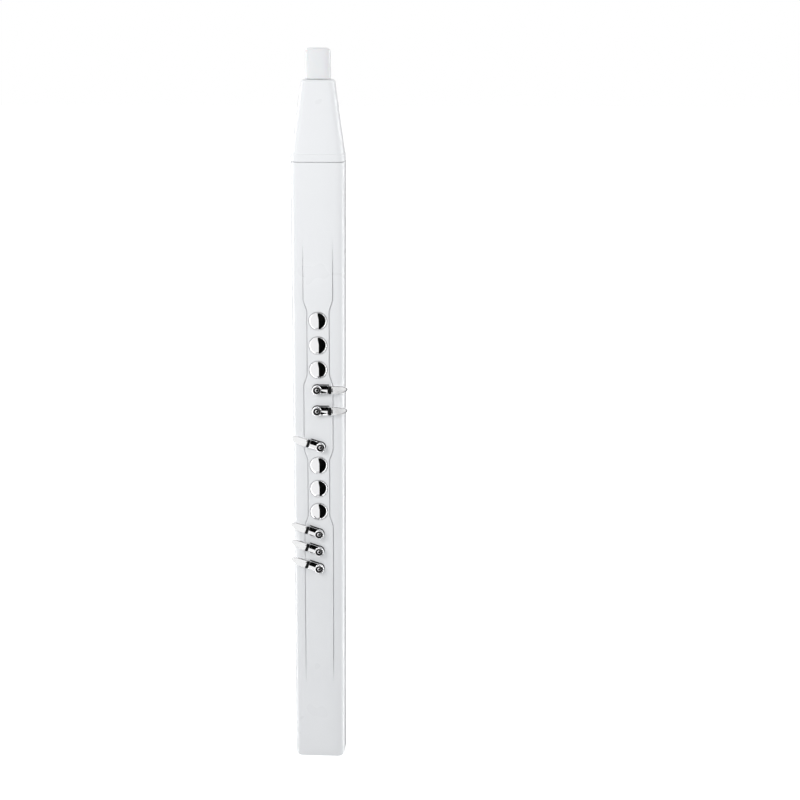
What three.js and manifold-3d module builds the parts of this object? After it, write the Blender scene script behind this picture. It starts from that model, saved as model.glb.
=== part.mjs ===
// A hand-held digital wind controller: a split tube with touch keys on its front, controls,
// a thumb hook and a loudspeaker on its back, and a mouthpiece on its tapered head.
// Millimetres. +Z runs up the tube to the mouthpiece, the keys face -Y, and +X is to the
// right of someone who looks at the keys. The origin lies in the foot, on the tube's axis.

import * as THREE from 'three';
import { mergeVertices } from 'three/addons/utils/BufferGeometryUtils.js';
import Module from 'manifold-3d';

const wasm = await Module();
wasm.setup();

// Shared clearances
const fit = 0.3;
const overrun = 2;

// The tube, measured from its axis
const tubeWidth = 44;
const frontDepth = 18;
const rimDepth = 14;
const shoulderDepth = 4;
const rimWidth = 34.2;
const frontCornerRadius = 6.5;
const partingDepth = 2;
const wall = 1.8;
const footWall = 3;
const frontFootRadius = 4.5;
const partingFootRadius = 0.8;
const footBevelHeight = 6;
const footBevelDepth = 3;

// The sunk floor of the back, with a groove along each side
const recessWidth = 33.8;
const grooveWidth = 2.1;
const floorDrop = 0.8;
const grooveDrop = 1.6;

// The raised blocks of the back
const blockRise = 4.5;
const blockWall = 2.2;
const blockRoot = 8.5;

const panelDrop = 2.3;
const panelTopSlope = 7.6;
const panelFootSlope = 6.7;
const panelWidth = 37;
const panelFootWidth = 32;

const bandLength = 11;

const bankFootSlope = 7.5;
const bankWidth = 35.2;
const bankFootWidth = 30;

const ventFootSlope = 16.9;
const ventFlat = 46;
const ventTopSlope = 5.3;
const ventWidth = 38;
const ventFootWidth = 34.3;
const ventTopWidth = 30.4;
const ventHoleRadius = 2.1;
const ventHoleSpread = 14.1;
const ventHoleFirst = 12;
const ventHoleRise = 1.1;
const ventHoleRows = 4;

// Casing screws in pockets down both edges of the back
const pocketRadius = 2.4;
const pocketSpread = 35.8;
const pocketFloor = 5.5;
const pocketBossRadius = 3.7;
const topPocketDrop = 3.4;
const bandPocketRise = 6;
const hookPocketDrop = 11.2;
const ventPocketRise = 6;
const footPocketHeight = 16.5;

// The raised land of the front, waisted beside each group of finger keys
const landRise = 1;
const landRoot = 0.8;
const landWidth = 24;
const landWaistWidth = 18;
const landTopDrop = 62;
const landFootHeight = 72;
const landTopRamp = 38;
const landFootRamp = 28;
const upperWaistAbove = 29.2;
const upperWaistBelow = 25.4;
const lowerWaistAbove = 25.5;
const lowerWaistBelow = 25;
const waistFlare = 8.8;

// Finger keys: domes on a rim, held behind the wall by a flange
const fingerKeyRadius = 7.5;
const fingerKeyPitch = 20.8;
const upperKeysDrop = 150.9;
const lowerKeysDrop = 276.3;
const fingerKeyTravel = 1.2;
const fingerKeyRimHeight = 1.1;
const fingerKeyRimWidth = 1.1;
const fingerKeyShoulder = 0.7;
const domeRise = 2.6;
const keyFlangeWidth = 1.1;
const keyFlangeThickness = 1;
const keyStemRadius = 2;

// Side keys: a boss and barrel on the land, and a spoon-shaped lever in a fork at its end
const sideKeyLength = 25.7;
const bossRadius = 4;
const mountHeight = 5;
const barrelWidth = 7.6;
const barrelShoulder = 1.2;
const barrelLength = 9.6;
const forkDepth = 3;
const forkWidth = 3.8;
const forkPinSetback = 1.4;
const forkPinRadius = 0.6;
const forkPinBore = 0.95;
const leverPivotHeight = 3;
const tongueThickness = 2.8;
const spoonStart = 11;
const spoonWidth = 7.6;
const spoonThickness = 2;
const spoonDroop = 0.9;
const spoonHeight = 3.3;
const spoonRingShares = [0, 0.3, 0.6, 0.82, 0.95, 1];
const spoonTipShare = 0.12;
const spoonThinningShare = 0.75;
const spoonRoundness = 2.6;
const sideKeyScrewRadius = 1.1;
const sideKeyScrewHeadRadius = 2.2;
const sideKeyScrewHeadHeight = 1.2;
const sideKeyCounterbore = 1.6;
const sideKeyHexRadius = 0.9;
const sideKeyHexDepth = 0.7;
const screwClearance = 0.35;

// Where the side keys' bosses sit, and how far their levers rise outwards
const rightKeyOffset = -1;
const leftKeyOffset = 1.8;
const lowKeyOffset = 0.2;
const rightKeyDrop = 188.4;
const rightKeyPitch = 18.4;
const leftKeyDrop = 238.5;
const lowKeyDrop = 316.6;
const lowKeyPitch = 15.9;
const leftKeyTilt = 17.3;
const lowKeyTilt = 19;

// The head and its collar
const collarHeight = 6.4;
const collarCrease = 0.5;
const headHeight = 64.7;
const headTopWidth = 27.4;
const headTopFront = 12.5;
const headTopShoulder = 1;
const headTopRear = 8.5;
const headTopRimWidth = 12;
const headTopCornerRadius = 5;
const headEdgeInset = 1.6;
const headRoof = 2.4;
const mouthAxisDepth = -2;

// The mouthpiece
const mouthLength = 24.4;
const mouthWidth = 21;
const mouthTipWidth = 20.2;
const mouthDepth = 15;
const mouthTipDepth = 9.5;
const mouthCornerRise = 3.4;
const mouthCornerInset = 3.2;
const mouthCornerSteps = 3;
const mouthCornerTurn = 80;
const mouthSquareShare = 0.72;
const mouthRingShares = [0, 0.5, 1];
const mouthSocketDepth = 12;
const airSlotWidth = 9.6;
const airSlotDepth = 4.8;

// The air pipe and the sensor that it feeds
const pipeRadius = 4;
const pipeBore = 2.5;
const sensorNippleRadius = 2.2;
const sensorNippleLength = 8;
const sensorWidth = 14;
const sensorDepth = 10;
const sensorHeight = 12;
const sensorTopDrop = 28.3;

// Display
const windowWidth = 30.4;
const windowHeight = 20.2;
const windowThickness = 1.2;
const windowMargin = 1.4;
const windowBezel = 1.5;
const moduleWidth = 29;
const moduleHeight = 22;
const moduleThickness = 2.6;

// Function buttons
const buttonRadius = 3.5;
const buttonProud = 0.5;
const buttonTravel = 0.6;
const buttonSpread = 16.5;
const buttonPitch = 18.35;
const windowToButtons = 12;
const buttonFootMargin = 8.6;
const buttonRows = 3;
const buttonLobes = 10;
const buttonLobeDepth = 0.25;
const buttonFlangeWidth = 1;
const buttonFlangeThickness = 0.8;
const buttonStemRadius = 1.4;
const dishRadius = 5.6;
const dishFootRadius = 4.3;
const dishDepth = 0.8;

// Octave rollers and their cradle
const rollerCount = 6;
const rollerRadius = 3.5;
const rollerLength = 12.3;
const rollerPitch = 10.46;
const rollerProud = 1.6;
const rollerTopMargin = 9.7;
const rollerFootMargin = 9;
const trunnionRadius = 1.1;
const trunnionLength = 2;
const trunnionClearance = 0.3;
const cradleWidth = 18.8;
const cradleDepth = 7.4;
const cradleFace = 1;
const cradleEnd = 6.2;
const cradleSideGap = 0.6;
const cradleWindowMargin = 0.35;

// Touch strips beside the rollers
const stripWidth = 3.8;
const stripThickness = 1.3;
const stripProud = 0.3;
const stripSpread = 23.2;
const stripInset = 2;
const stripCrown = 0.3;

// The thumb hook casting
const eyeletMargin = 13;
const eyeletLength = 21.9;
const eyeletWidth = 9.7;
const eyeletSlotWidth = 5.6;
const eyeletSlotLength = 15.9;
const neckLength = 8.8;
const neckWidth = 6.3;
const hookPlateLength = 22;
const hookPlateWidth = 14.2;
const hookPlateThickness = 1.6;
const hookLength = 17;
const hookReach = 11;
const hookTipWidth = 20;
const hookTipThickness = 1.8;
const hookScrewDrop = 3.9;
const hookScrewPitch = 7.9;
const hookScrewHeadRadius = 2.2;
const hookScrewHeadHeight = 1.2;
const hookScrewRadius = 1.1;
const hookScrewLength = 7;
const hookScrewBossRadius = 3;
const hookScrewBossDepth = 4;
const screwCrossWidth = 0.6;
const screwCrossLength = 2.6;
const screwCrossDepth = 0.6;
const eyeletWellWidth = 9;
const eyeletWellDepth = 5;
const eyeletWellWall = 1.6;

// The bend wheel
const hookToWheel = 37;
const wheelToVent = 27.4;
const wheelWidth = 17.3;
const wheelWindowLength = 20.4;
const wheelRadius = 17.6;
const wheelProud = 2.2;
const wheelRim = 2.5;
const wheelHalfSpread = 57;
const wheelWebHalfAngle = 14;
const wheelHubRadius = 3.2;
const wheelAxleRadius = 1.5;
const wheelAxleLength = 2.8;
const wheelEarThickness = 2.6;
const wheelEarWidth = 9;
const wheelEarBelow = 3.4;
const wheelAxleClearance = 0.35;

// Battery, its cover, the loudspeaker and its grille
const hatchWidth = 29.6;
const hatchThickness = 1.8;
const hatchLedge = 1;
const coverSplit = 0.3;
const grilleFootMargin = 4.58;
const grilleFoot = 8.2;
const latchWidth = 5;
const latchHeight = 3.6;
const latchDepth = 0.9;
const latchRise = 3.4;
const stripToVent = 8.5;
const grilleHoleRadius = 1.15;
const grillePitch = 4.2;
const grilleRowPitch = 2.82;
const grilleTopDrop = 10.9;
const grilleRowHoles = [5, 4, 5, 6, 7, 6, 7, 6, 7, 6, 7, 6];
const grilleRowBlanks = [1, 0, 0, 0, 0, 0, 0, 0, 0, 0, 0, 2];
const grilleSlotWidth = 2.6;
const grilleSlotHeight = 1.6;
const grilleSlotDrop = 5.1;
const cellRadius = 9.1;
const cellLength = 65;
const cellCapRadius = 3;
const cellCapHeight = 1;
const cellDepth = 1;
const cellRise = 7.2;
const cellHeadroom = 11.3;
const cellRib = 2;
const speakerRadius = 14.5;
const speakerRim = 1;
const speakerBasketRadius = 12.6;
const speakerBasketDepth = 5;
const speakerMagnetRadius = 7;
const speakerMagnetDepth = 4;
const speakerConeRadius = 11.5;
const speakerConeDepth = 3;
const speakerCapRadius = 4;

// Boards and sockets
const boardThickness = 1.6;
const boardWidth = 34;
const boardDepth = 5.4;
const boardFootRise = 11.5;
const boardTopDrop = 25.3;
const boardWindowWidth = 26.6;
const boardWindowLength = 36;
const postRadius = 2.5;
const boardPostSpread = 29;
const boardPostInset = 4;
const middlePostDrop = 23;
const keyBoardWidth = 30;
const keyBoardDepth = 12.6;
const keyBoardTopDrop = 115;
const keyBoardLength = 245;
const keyPostSpread = 24;
const keyPostInset = 10;
const socketDepth = 8;
const usbDrop = 64;
const usbWidth = 8.9;
const usbHeight = 3.4;
const usbLength = 7;
const usbWall = 0.4;
const usbTongueWidth = 6.4;
const usbTongueThickness = 0.7;
const usbTongueLength = 5.6;
const phoneDrop = 92;
const phoneRadius = 2.2;
const phoneBore = 1.75;
const phoneLength = 7;
const socketSetback = 0.5;
const socketBore = 5.5;

// Facets round a full turn
const coarseTurn = 8;
const middleTurn = 12;
const fineTurn = 14;
const hexSides = 6;
const cornerSteps = 4;
const domeSteps = 3;
const wheelRimSteps = 14;
const wheelInnerSteps = 4;

// Places worked out from the sizes above
const frontFace = -frontDepth;
const landFace = frontFace - landRise;
const floorDepth = rimDepth - floorDrop;
const grooveDepth = rimDepth - grooveDrop;
const ceilingDepth = grooveDepth - wall;
const blockDepth = rimDepth + blockRise;
const blockCeiling = blockDepth - blockWall;
const frontParting = partingDepth - fit / 2;
const rearParting = partingDepth + fit / 2;
const halfTube = tubeWidth / 2;

// Heights along the tube, each zone as long as what it carries needs
const grilleLength = grilleTopDrop + (grilleRowHoles.length - 1) * grilleRowPitch + grilleFootMargin;
const grilleTop = grilleFoot + grilleLength;
const coverFoot = grilleTop + coverSplit;
const coverTop = coverFoot + cellRise + cellLength + cellHeadroom;
const ventFoot = coverTop + stripToVent;
const ventFaceFoot = ventFoot + ventFootSlope;
const ventFaceTop = ventFaceFoot + ventFlat;
const ventTop = ventFaceTop + ventTopSlope;
const plateFoot = ventTop + wheelToVent + hookToWheel;
const plateTop = plateFoot + hookPlateLength;
const eyeletTop = plateTop + neckLength + eyeletLength;
const bankFoot = eyeletTop + eyeletMargin;
const bankFaceFoot = bankFoot + bankFootSlope;
const lastRoller = bankFaceFoot + rollerFootMargin;
const firstRoller = lastRoller + (rollerCount - 1) * rollerPitch;
const bankTop = firstRoller + rollerTopMargin;
const panelFoot = bankTop + bandLength;
const panelFaceFoot = panelFoot + panelFootSlope;
const lastButton = panelFaceFoot + buttonFootMargin;
const firstButton = lastButton + (buttonRows - 1) * buttonPitch;
const panelFaceTop = firstButton + windowToButtons + windowHeight + windowMargin;
const panelTop = panelFaceTop + panelTopSlope;
const tubeHeight = panelTop + panelDrop;
const headFoot = tubeHeight + fit;
const collarTop = headFoot + collarHeight;
const headTop = headFoot + headHeight;
const mouthFoot = headTop + fit;
const overallHeight = mouthFoot + mouthLength;
const mouthSocketTop = mouthFoot + mouthSocketDepth;
const upperKeys = tubeHeight - upperKeysDrop;
const lowerKeys = tubeHeight - lowerKeysDrop;
const wheelCentre = ventTop + wheelToVent;
const wheelAxisDepth = floorDepth + wheelProud - wheelRadius;
const boardBack = boardDepth - boardThickness;
const boardFoot = coverTop + boardFootRise;
const boardTop = tubeHeight - boardTopDrop;

// Colours and finishes
function finish(colour, roughness, metalness) {
  return new THREE.MeshStandardMaterial({ color: colour, roughness, metalness });
}

const whiteGloss = finish(0xf0f0f2, 0.18, 0);
const blackSatin = finish(0x1d1d1f, 0.35, 0);
const blackGloss = finish(0x070708, 0.08, 0);
const chrome = finish(0xe8e8ea, 0.05, 1);
const satinSteel = finish(0xcfd0d1, 0.3, 1);
const greyPlastic = finish(0x77777a, 0.5, 0);
const darkGlass = finish(0x050506, 0.03, 0);
const boardGreen = finish(0x1f5a3a, 0.5, 0);
const cellSleeve = finish(0x2f5fa8, 0.4, 0);
const paperCone = finish(0x26262a, 0.8, 0);
const clearPipe = finish(0xd8dad8, 0.3, 0);

// Solids

// A closed mesh from a three.js geometry: seams merged, slivers dropped, faces turned out.
function solid(geometry) {
  const bare = geometry.clone();
  bare.deleteAttribute('normal');
  bare.deleteAttribute('uv');
  const merged = mergeVertices(bare, 1e-4);
  const place = merged.attributes.position;
  const corners = [];
  let volume = 0;
  const a = new THREE.Vector3();
  const b = new THREE.Vector3();
  const c = new THREE.Vector3();
  for (let k = 0; k < merged.index.count; k += 3) {
    const ids = [merged.index.getX(k), merged.index.getX(k + 1), merged.index.getX(k + 2)];
    if (ids[0] === ids[1] || ids[1] === ids[2] || ids[2] === ids[0]) {
      continue;
    }
    corners.push(ids);
    a.fromBufferAttribute(place, ids[0]);
    b.fromBufferAttribute(place, ids[1]);
    c.fromBufferAttribute(place, ids[2]);
    volume += a.dot(b.cross(c));
  }
  const faces = volume < 0 ? corners.map(([p, q, r]) => [p, r, q]) : corners;
  const mesh = new wasm.Mesh({
    numProp: 3,
    vertProperties: new Float32Array(place.array),
    triVerts: new Uint32Array(faces.flat()),
  });
  return new wasm.Manifold(mesh);
}

// A three.js geometry from a finished solid.
function skin(body) {
  const mesh = body.getMesh();
  const geometry = new THREE.BufferGeometry();
  geometry.setAttribute('position', new THREE.BufferAttribute(mesh.vertProperties, 3));
  geometry.setIndex(new THREE.BufferAttribute(mesh.triVerts, 1));
  geometry.computeVertexNormals();
  return geometry;
}

function piece(name, body, material) {
  const mesh = new THREE.Mesh(skin(body), material);
  mesh.name = name;
  return mesh;
}

function join(bodies) {
  return bodies.reduce((whole, next) => whole.add(next));
}

function cut(body, cutters) {
  return cutters.reduce((whole, next) => whole.subtract(next), body);
}

// A box between two corners.
function block(low, high) {
  const size = high.map((value, k) => value - low[k]);
  const geometry = new THREE.BoxGeometry(...size);
  geometry.translate(...high.map((value, k) => (value + low[k]) / 2));
  return solid(geometry);
}

// A round bar along X, Y or Z between two places on that axis.
function bar(axis, radius, from, to, across, turn = coarseTurn, farRadius = radius) {
  const geometry = new THREE.CylinderGeometry(farRadius, radius, to - from, turn);
  geometry.translate(0, (from + to) / 2, 0);
  if (axis === 'x') {
    geometry.rotateZ(-Math.PI / 2);
    geometry.translate(0, across[0], across[1]);
  } else if (axis === 'z') {
    geometry.rotateX(Math.PI / 2);
    geometry.translate(across[0], across[1], 0);
  } else {
    geometry.translate(across[0], 0, across[1]);
  }
  return solid(geometry);
}

// An outline swept straight along X (outline in y, z), Y (in x, z) or Z (in x, y).
function sweep(axis, outline, from, to) {
  const shape = outline instanceof THREE.Shape ? outline : new THREE.Shape(outline);
  const options = { depth: to - from, bevelEnabled: false, curveSegments: cornerSteps };
  const geometry = new THREE.ExtrudeGeometry(shape, options);
  geometry.translate(0, 0, from);
  const unit = {
    x: new THREE.Vector3(1, 0, 0),
    y: new THREE.Vector3(0, 1, 0),
    z: new THREE.Vector3(0, 0, 1),
  };
  const outlineAxes = { x: ['y', 'z'], y: ['x', 'z'], z: ['x', 'y'] }[axis];
  const [first, second] = outlineAxes.map((name) => unit[name]);
  geometry.applyMatrix4(new THREE.Matrix4().makeBasis(first, second, unit[axis]));
  return solid(geometry);
}

function points(pairs) {
  return pairs.map(([u, v]) => new THREE.Vector2(u, v));
}

// A profile of radius and height, turned round the local Y axis.
function revolve(pairs, turn = fineTurn) {
  return solid(new THREE.LatheGeometry(points(pairs), turn));
}

// A skin through rings of as many points each, closed by a fan at both ends.
function loft(rings) {
  const count = rings[0].length;
  const places = rings.flat();
  const index = [];
  for (let ring = 0; ring < rings.length - 1; ring += 1) {
    for (let k = 0; k < count; k += 1) {
      const next = (k + 1) % count;
      const low = ring * count;
      const high = low + count;
      index.push(low + k, low + next, high + next);
      index.push(low + k, high + next, high + k);
    }
  }
  [0, rings.length - 1].forEach((ring, end) => {
    const centre = new THREE.Vector3();
    rings[ring].forEach((place) => centre.addScaledVector(place, 1 / count));
    places.push(centre);
    for (let k = 0; k < count; k += 1) {
      const one = ring * count + k;
      const two = ring * count + ((k + 1) % count);
      index.push(places.length - 1, ...(end === 0 ? [two, one] : [one, two]));
    }
  });
  const geometry = new THREE.BufferGeometry().setFromPoints(places);
  geometry.setIndex(index);
  return solid(geometry);
}

// A slot with round ends, long the second way, as an outline.
function stadium(across, along, u, v) {
  const radius = across / 2;
  const straight = (along - across) / 2;
  const shape = new THREE.Shape();
  shape.absarc(u, v + straight, radius, 0, Math.PI, false);
  shape.absarc(u, v - straight, radius, Math.PI, Math.PI * 2, false);
  shape.closePath();
  return shape;
}

// The tube's section

// The outline across the tube: round front corners, flat sides, and bevels to a flat back.
function tubeRing({ half, front, shoulder, rear, rimHalf, radius }) {
  const ring = [[rimHalf, rear], [-rimHalf, rear], [-half, shoulder]];
  for (const side of [-1, 1]) {
    for (let k = 0; k <= cornerSteps; k += 1) {
      const share = side < 0 ? k / cornerSteps : 1 - k / cornerSteps;
      const angle = share * Math.PI / 2;
      const u = side * (half - radius + radius * Math.cos(angle));
      ring.push([u, -front + radius - radius * Math.sin(angle)]);
    }
  }
  ring.push([half, shoulder]);
  return ring;
}

// The same section, one wall thickness further in, with its back at the given ceiling.
function insetRing({ half, front, shoulder, rear, rimHalf, radius }, thickness, ceiling) {
  const run = half - rimHalf;
  const rise = rear - shoulder;
  const length = Math.hypot(run, rise);
  const acrossShare = rise / length;
  const depthShare = run / length;
  const line = half * acrossShare + shoulder * depthShare - thickness;
  const innerHalf = half - thickness;
  return {
    half: innerHalf,
    front: front - thickness,
    shoulder: (line - innerHalf * acrossShare) / depthShare,
    rear: ceiling,
    rimHalf: (line - ceiling * depthShare) / acrossShare,
    radius: Math.max(radius - thickness, radius / 4),
  };
}

const tubeSection = {
  half: halfTube,
  front: frontDepth,
  shoulder: shoulderDepth,
  rear: rimDepth,
  rimHalf: rimWidth / 2,
  radius: frontCornerRadius,
};
const boreSection = insetRing(tubeSection, wall, ceilingDepth);
const tube = sweep('z', points(tubeRing(tubeSection)), 0, tubeHeight);
const tubeBore = sweep('z', points(tubeRing(boreSection)), footWall, tubeHeight + overrun);
const wide = tubeWidth + overrun;
const above = overallHeight + overrun;
const frontHalf = block([-wide, -wide, -overrun], [wide, frontParting, above]);
const rearHalf = block([-wide, rearParting, -overrun], [wide, wide, above]);

// Front shell

const landProfile = (() => {
  const half = landWidth / 2;
  const waist = landWaistWidth / 2;
  const side = [[half, landFootHeight]];
  const waists = [
    [lowerKeys - lowerWaistBelow, lowerKeys + lowerWaistAbove],
    [upperKeys - upperWaistBelow, upperKeys + upperWaistAbove],
  ];
  for (const [low, high] of waists) {
    side.push([half, low - waistFlare], [waist, low], [waist, high], [half, high + waistFlare]);
  }
  side.push([half, tubeHeight - landTopDrop]);
  const mirrored = side.map(([u, v]) => [-u, v]).reverse();
  return points([...side, ...mirrored]);
})();

function raisedLand() {
  const top = tubeHeight - landTopDrop;
  const plan = sweep('y', landProfile, landFace, frontFace + landRoot);
  const ramp = points([
    [frontFace + landRoot, landFootHeight],
    [frontFace, landFootHeight],
    [landFace, landFootHeight + landFootRamp],
    [landFace, top - landTopRamp],
    [frontFace, top],
    [frontFace + landRoot, top],
  ]);
  return plan.intersect(sweep('x', ramp, -landWidth, landWidth));
}

const fingerKeyHeights = [upperKeys, lowerKeys].flatMap((middle) => [
  middle + fingerKeyPitch,
  middle,
  middle - fingerKeyPitch,
]);

// Each side key: its boss, and the direction in which its lever points.
function sideKeyPlace(across, height, side, tilt) {
  const angle = THREE.MathUtils.degToRad(tilt);
  const outward = new THREE.Vector3(side * Math.cos(angle), 0, Math.sin(angle));
  return { across, height, outward };
}

const sideKeyPlaces = [
  sideKeyPlace(rightKeyOffset, tubeHeight - rightKeyDrop, 1, 0),
  sideKeyPlace(rightKeyOffset, tubeHeight - rightKeyDrop - rightKeyPitch, 1, 0),
  sideKeyPlace(leftKeyOffset, tubeHeight - leftKeyDrop, -1, leftKeyTilt),
  ...[0, 1, 2].map((row) => {
    const height = tubeHeight - lowKeyDrop - row * lowKeyPitch;
    return sideKeyPlace(lowKeyOffset, height, -1, lowKeyTilt);
  }),
];

const keyBoardTop = tubeHeight - keyBoardTopDrop;
const keyBoardFoot = keyBoardTop - keyBoardLength;
const keyBoardFace = -keyBoardDepth;
const innerFront = frontFace + wall;

// The front view of the tube at one depth, with the two corners of its foot rounded.
function footRing(radius, depth) {
  const ring = [[halfTube, tubeHeight], [-halfTube, tubeHeight]];
  for (const side of [-1, 1]) {
    for (let k = 0; k <= cornerSteps; k += 1) {
      const share = side < 0 ? k / cornerSteps : 1 - k / cornerSteps;
      const angle = share * Math.PI / 2;
      const across = side * (halfTube - radius + radius * Math.cos(angle));
      ring.push([across, radius - radius * Math.sin(angle)]);
    }
  }
  return ring.map(([across, height]) => new THREE.Vector3(across, depth, height));
}

function frontShell() {
  const rounded = tube.intersect(loft([
    footRing(frontFootRadius, frontFace),
    footRing(partingFootRadius, frontParting),
  ]));
  const keyHoles = fingerKeyHeights.map((height) => (
    bar('y', fingerKeyRadius + fit, landFace - overrun, innerFront + overrun, [0, height], fineTurn)
  ));
  const screwHoles = sideKeyPlaces.map(({ across, height }) => {
    const radius = sideKeyScrewRadius + screwClearance;
    return bar('y', radius, landFace - overrun, innerFront + overrun, [across, height]);
  });
  const postHeights = [keyBoardFoot + keyPostInset, (keyBoardFoot + keyBoardTop) / 2,
    keyBoardTop - keyPostInset];
  const posts = postHeights.flatMap((height) => [-1, 1].map((side) => {
    const across = side * keyPostSpread / 2;
    return bar('y', postRadius, innerFront - wall / 2, keyBoardFace - fit, [across, height]);
  }));
  const shell = join([rounded.intersect(frontHalf).subtract(tubeBore), raisedLand(), ...posts]);
  return piece('front_shell', cut(shell, [...keyHoles, ...screwHoles]), whiteGloss);
}

// Rear shell

// A raised block: its slopes seen from the side, and its cut corners seen from behind.
function raisedBlock({ heights, widths }) {
  const [foot, faceFoot, faceTop, top] = heights;
  const side = points([
    [blockRoot, foot],
    [floorDepth, foot],
    [blockDepth, faceFoot],
    [blockDepth, faceTop],
    [floorDepth, top],
    [blockRoot, top],
  ]);
  const half = widths.map((width) => width / 2);
  const plan = points([
    [half[0], foot],
    [half[1], faceFoot],
    [half[1], faceTop],
    [half[2], top],
    [-half[2], top],
    [-half[1], faceTop],
    [-half[1], faceFoot],
    [-half[0], foot],
  ]);
  return sweep('x', side, -wide, wide).intersect(sweep('y', plan, 0, wide));
}

const panelBlock = {
  heights: [panelFoot, panelFaceFoot, panelFaceTop, panelTop],
  widths: [panelFootWidth, panelWidth, panelWidth],
};
const bankBlock = {
  heights: [bankFoot, bankFaceFoot, bankTop, bankTop],
  widths: [bankFootWidth, bankWidth, bankWidth],
};
const ventBlock = {
  heights: [ventFoot, ventFaceFoot, ventFaceTop, ventTop],
  widths: [ventFootWidth, ventWidth, ventTopWidth],
};

// The hollow behind a block's face.
function blockHollow({ heights, widths }) {
  const half = widths[1] / 2 - blockWall;
  return block(
    [-half, ceilingDepth - overrun, heights[1]],
    [half, blockCeiling, heights[2]],
  );
}

// The sunk floor with its two grooves, between two heights.
function sunkFloor(from, to) {
  const half = recessWidth / 2;
  const inner = half - grooveWidth;
  const profile = points([
    [-half, rimDepth + overrun],
    [-half, grooveDepth],
    [-inner, grooveDepth],
    [-inner, floorDepth],
    [inner, floorDepth],
    [inner, grooveDepth],
    [half, grooveDepth],
    [half, rimDepth + overrun],
  ]);
  return sweep('z', profile, from, to);
}

const buttonPlaces = Array.from({ length: buttonRows }, (_, row) => row).flatMap((row) => (
  [-1, 1].map((side) => [
    side * buttonSpread / 2,
    firstButton - row * buttonPitch,
  ])
));
const windowCentre = panelFaceTop - windowMargin - windowHeight / 2;
const windowLedge = blockDepth - windowThickness - fit;
const rollerAxisDepth = blockDepth + rollerProud - rollerRadius;
const rollerHeights = Array.from({ length: rollerCount }, (_, k) => (
  firstRoller - k * rollerPitch
));
const cradleTop = firstRoller + cradleEnd;
const cradleFoot = lastRoller - cradleEnd;
const stripCentre = (cradleTop + cradleFoot) / 2;
const stripLength = cradleTop - cradleFoot - stripInset * 2;
const eyeletCentre = eyeletTop - eyeletLength / 2;
const hookScrewHeights = [plateTop - hookScrewDrop, plateTop - hookScrewDrop - hookScrewPitch];
const usbHeightUp = bankFoot - usbDrop;
const phoneHeightUp = bankFoot - phoneDrop;
const pocketHeights = [
  tubeHeight - topPocketDrop,
  bankTop + bandPocketRise,
  bankFoot - hookPocketDrop,
  ventTop + ventPocketRise,
  footPocketHeight,
];

function footBevel() {
  const slope = footBevelDepth / footBevelHeight;
  const past = overrun * slope;
  return sweep('x', points([
    [rimDepth - footBevelDepth - past, -overrun],
    [rimDepth + blockRise, -overrun],
    [rimDepth + blockRise, footBevelHeight + overrun],
    [rimDepth + past, footBevelHeight + overrun],
  ]), -wide, wide);
}

function displayOpening() {
  const half = windowWidth / 2 + fit;
  const tall = windowHeight / 2 + fit;
  const frame = block(
    [-half, windowLedge, windowCentre - tall],
    [half, blockDepth + overrun, windowCentre + tall],
  );
  const sight = block(
    [-half + windowBezel, ceilingDepth, windowCentre - tall + windowBezel],
    [half - windowBezel, blockDepth, windowCentre + tall - windowBezel],
  );
  return join([frame, sight]);
}

function buttonOpenings() {
  const bore = buttonRadius + fit;
  return buttonPlaces.map((place) => join([
    bar('y', bore, ceilingDepth, blockDepth + overrun, place, middleTurn),
    bar('y', dishFootRadius, blockDepth - dishDepth, blockDepth + fit, place, middleTurn, dishRadius),
  ]));
}

function cradleOpening() {
  const half = cradleWidth / 2 + fit;
  return block(
    [-half, ceilingDepth - overrun, cradleFoot - fit],
    [half, blockDepth + overrun, cradleTop + fit],
  );
}

function stripGrooves() {
  return [-1, 1].map((side) => {
    const middle = side * stripSpread / 2;
    const half = stripWidth / 2 + fit;
    const tall = stripLength / 2 + fit;
    return block(
      [middle - half, blockDepth + stripProud - stripThickness - fit, stripCentre - tall],
      [middle + half, blockDepth + overrun, stripCentre + tall],
    );
  });
}

function ventHoles() {
  const ventHolePitch = (ventFlat + ventHoleRise - ventHoleFirst) / (ventHoleRows - 1);
  const rows = Array.from({ length: ventHoleRows }, (_, row) => row);
  return rows.flatMap((row) => [-1, 1].map((side) => {
    const height = ventFaceFoot + ventHoleFirst + row * ventHolePitch;
    const place = [side * ventHoleSpread / 2, height];
    return bar('y', ventHoleRadius, ceilingDepth, blockDepth + overrun, place);
  }));
}

// The shallow seat of the battery cover and the grille, and the two openings under them.
function hatchOpenings() {
  const half = hatchWidth / 2 + fit;
  const seat = floorDepth - hatchThickness - fit;
  const ledge = half - hatchLedge;
  const through = (from, to) => block(
    [-ledge, ceilingDepth - overrun, from + hatchLedge],
    [ledge, rimDepth + overrun, to - hatchLedge],
  );
  return [
    block([-half, seat, grilleFoot - fit], [half, rimDepth + overrun, coverTop + fit]),
    through(grilleFoot, grilleTop - hatchLedge),
    through(coverFoot + hatchLedge, coverTop),
  ];
}

function wheelOpening() {
  const half = wheelWidth / 2 + fit;
  const tall = wheelWindowLength / 2;
  const window = block(
    [-half, ceilingDepth - overrun, wheelCentre - tall],
    [half, rimDepth + overrun, wheelCentre + tall],
  );
  const relief = bar(
    'x',
    wheelRadius + fit,
    -half,
    half,
    [wheelAxisDepth, wheelCentre],
    fineTurn * 2,
  );
  return window.add(relief);
}

const earInner = wheelWidth / 2 + fit * 2;

function wheelEars() {
  return [-1, 1].map((side) => {
    const near = side * earInner;
    const far = side * (earInner + wheelEarThickness);
    return block(
      [Math.min(near, far), wheelAxisDepth - wheelEarBelow, wheelCentre - wheelEarWidth / 2],
      [Math.max(near, far), ceilingDepth + wall / 2, wheelCentre + wheelEarWidth / 2],
    );
  });
}

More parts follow.
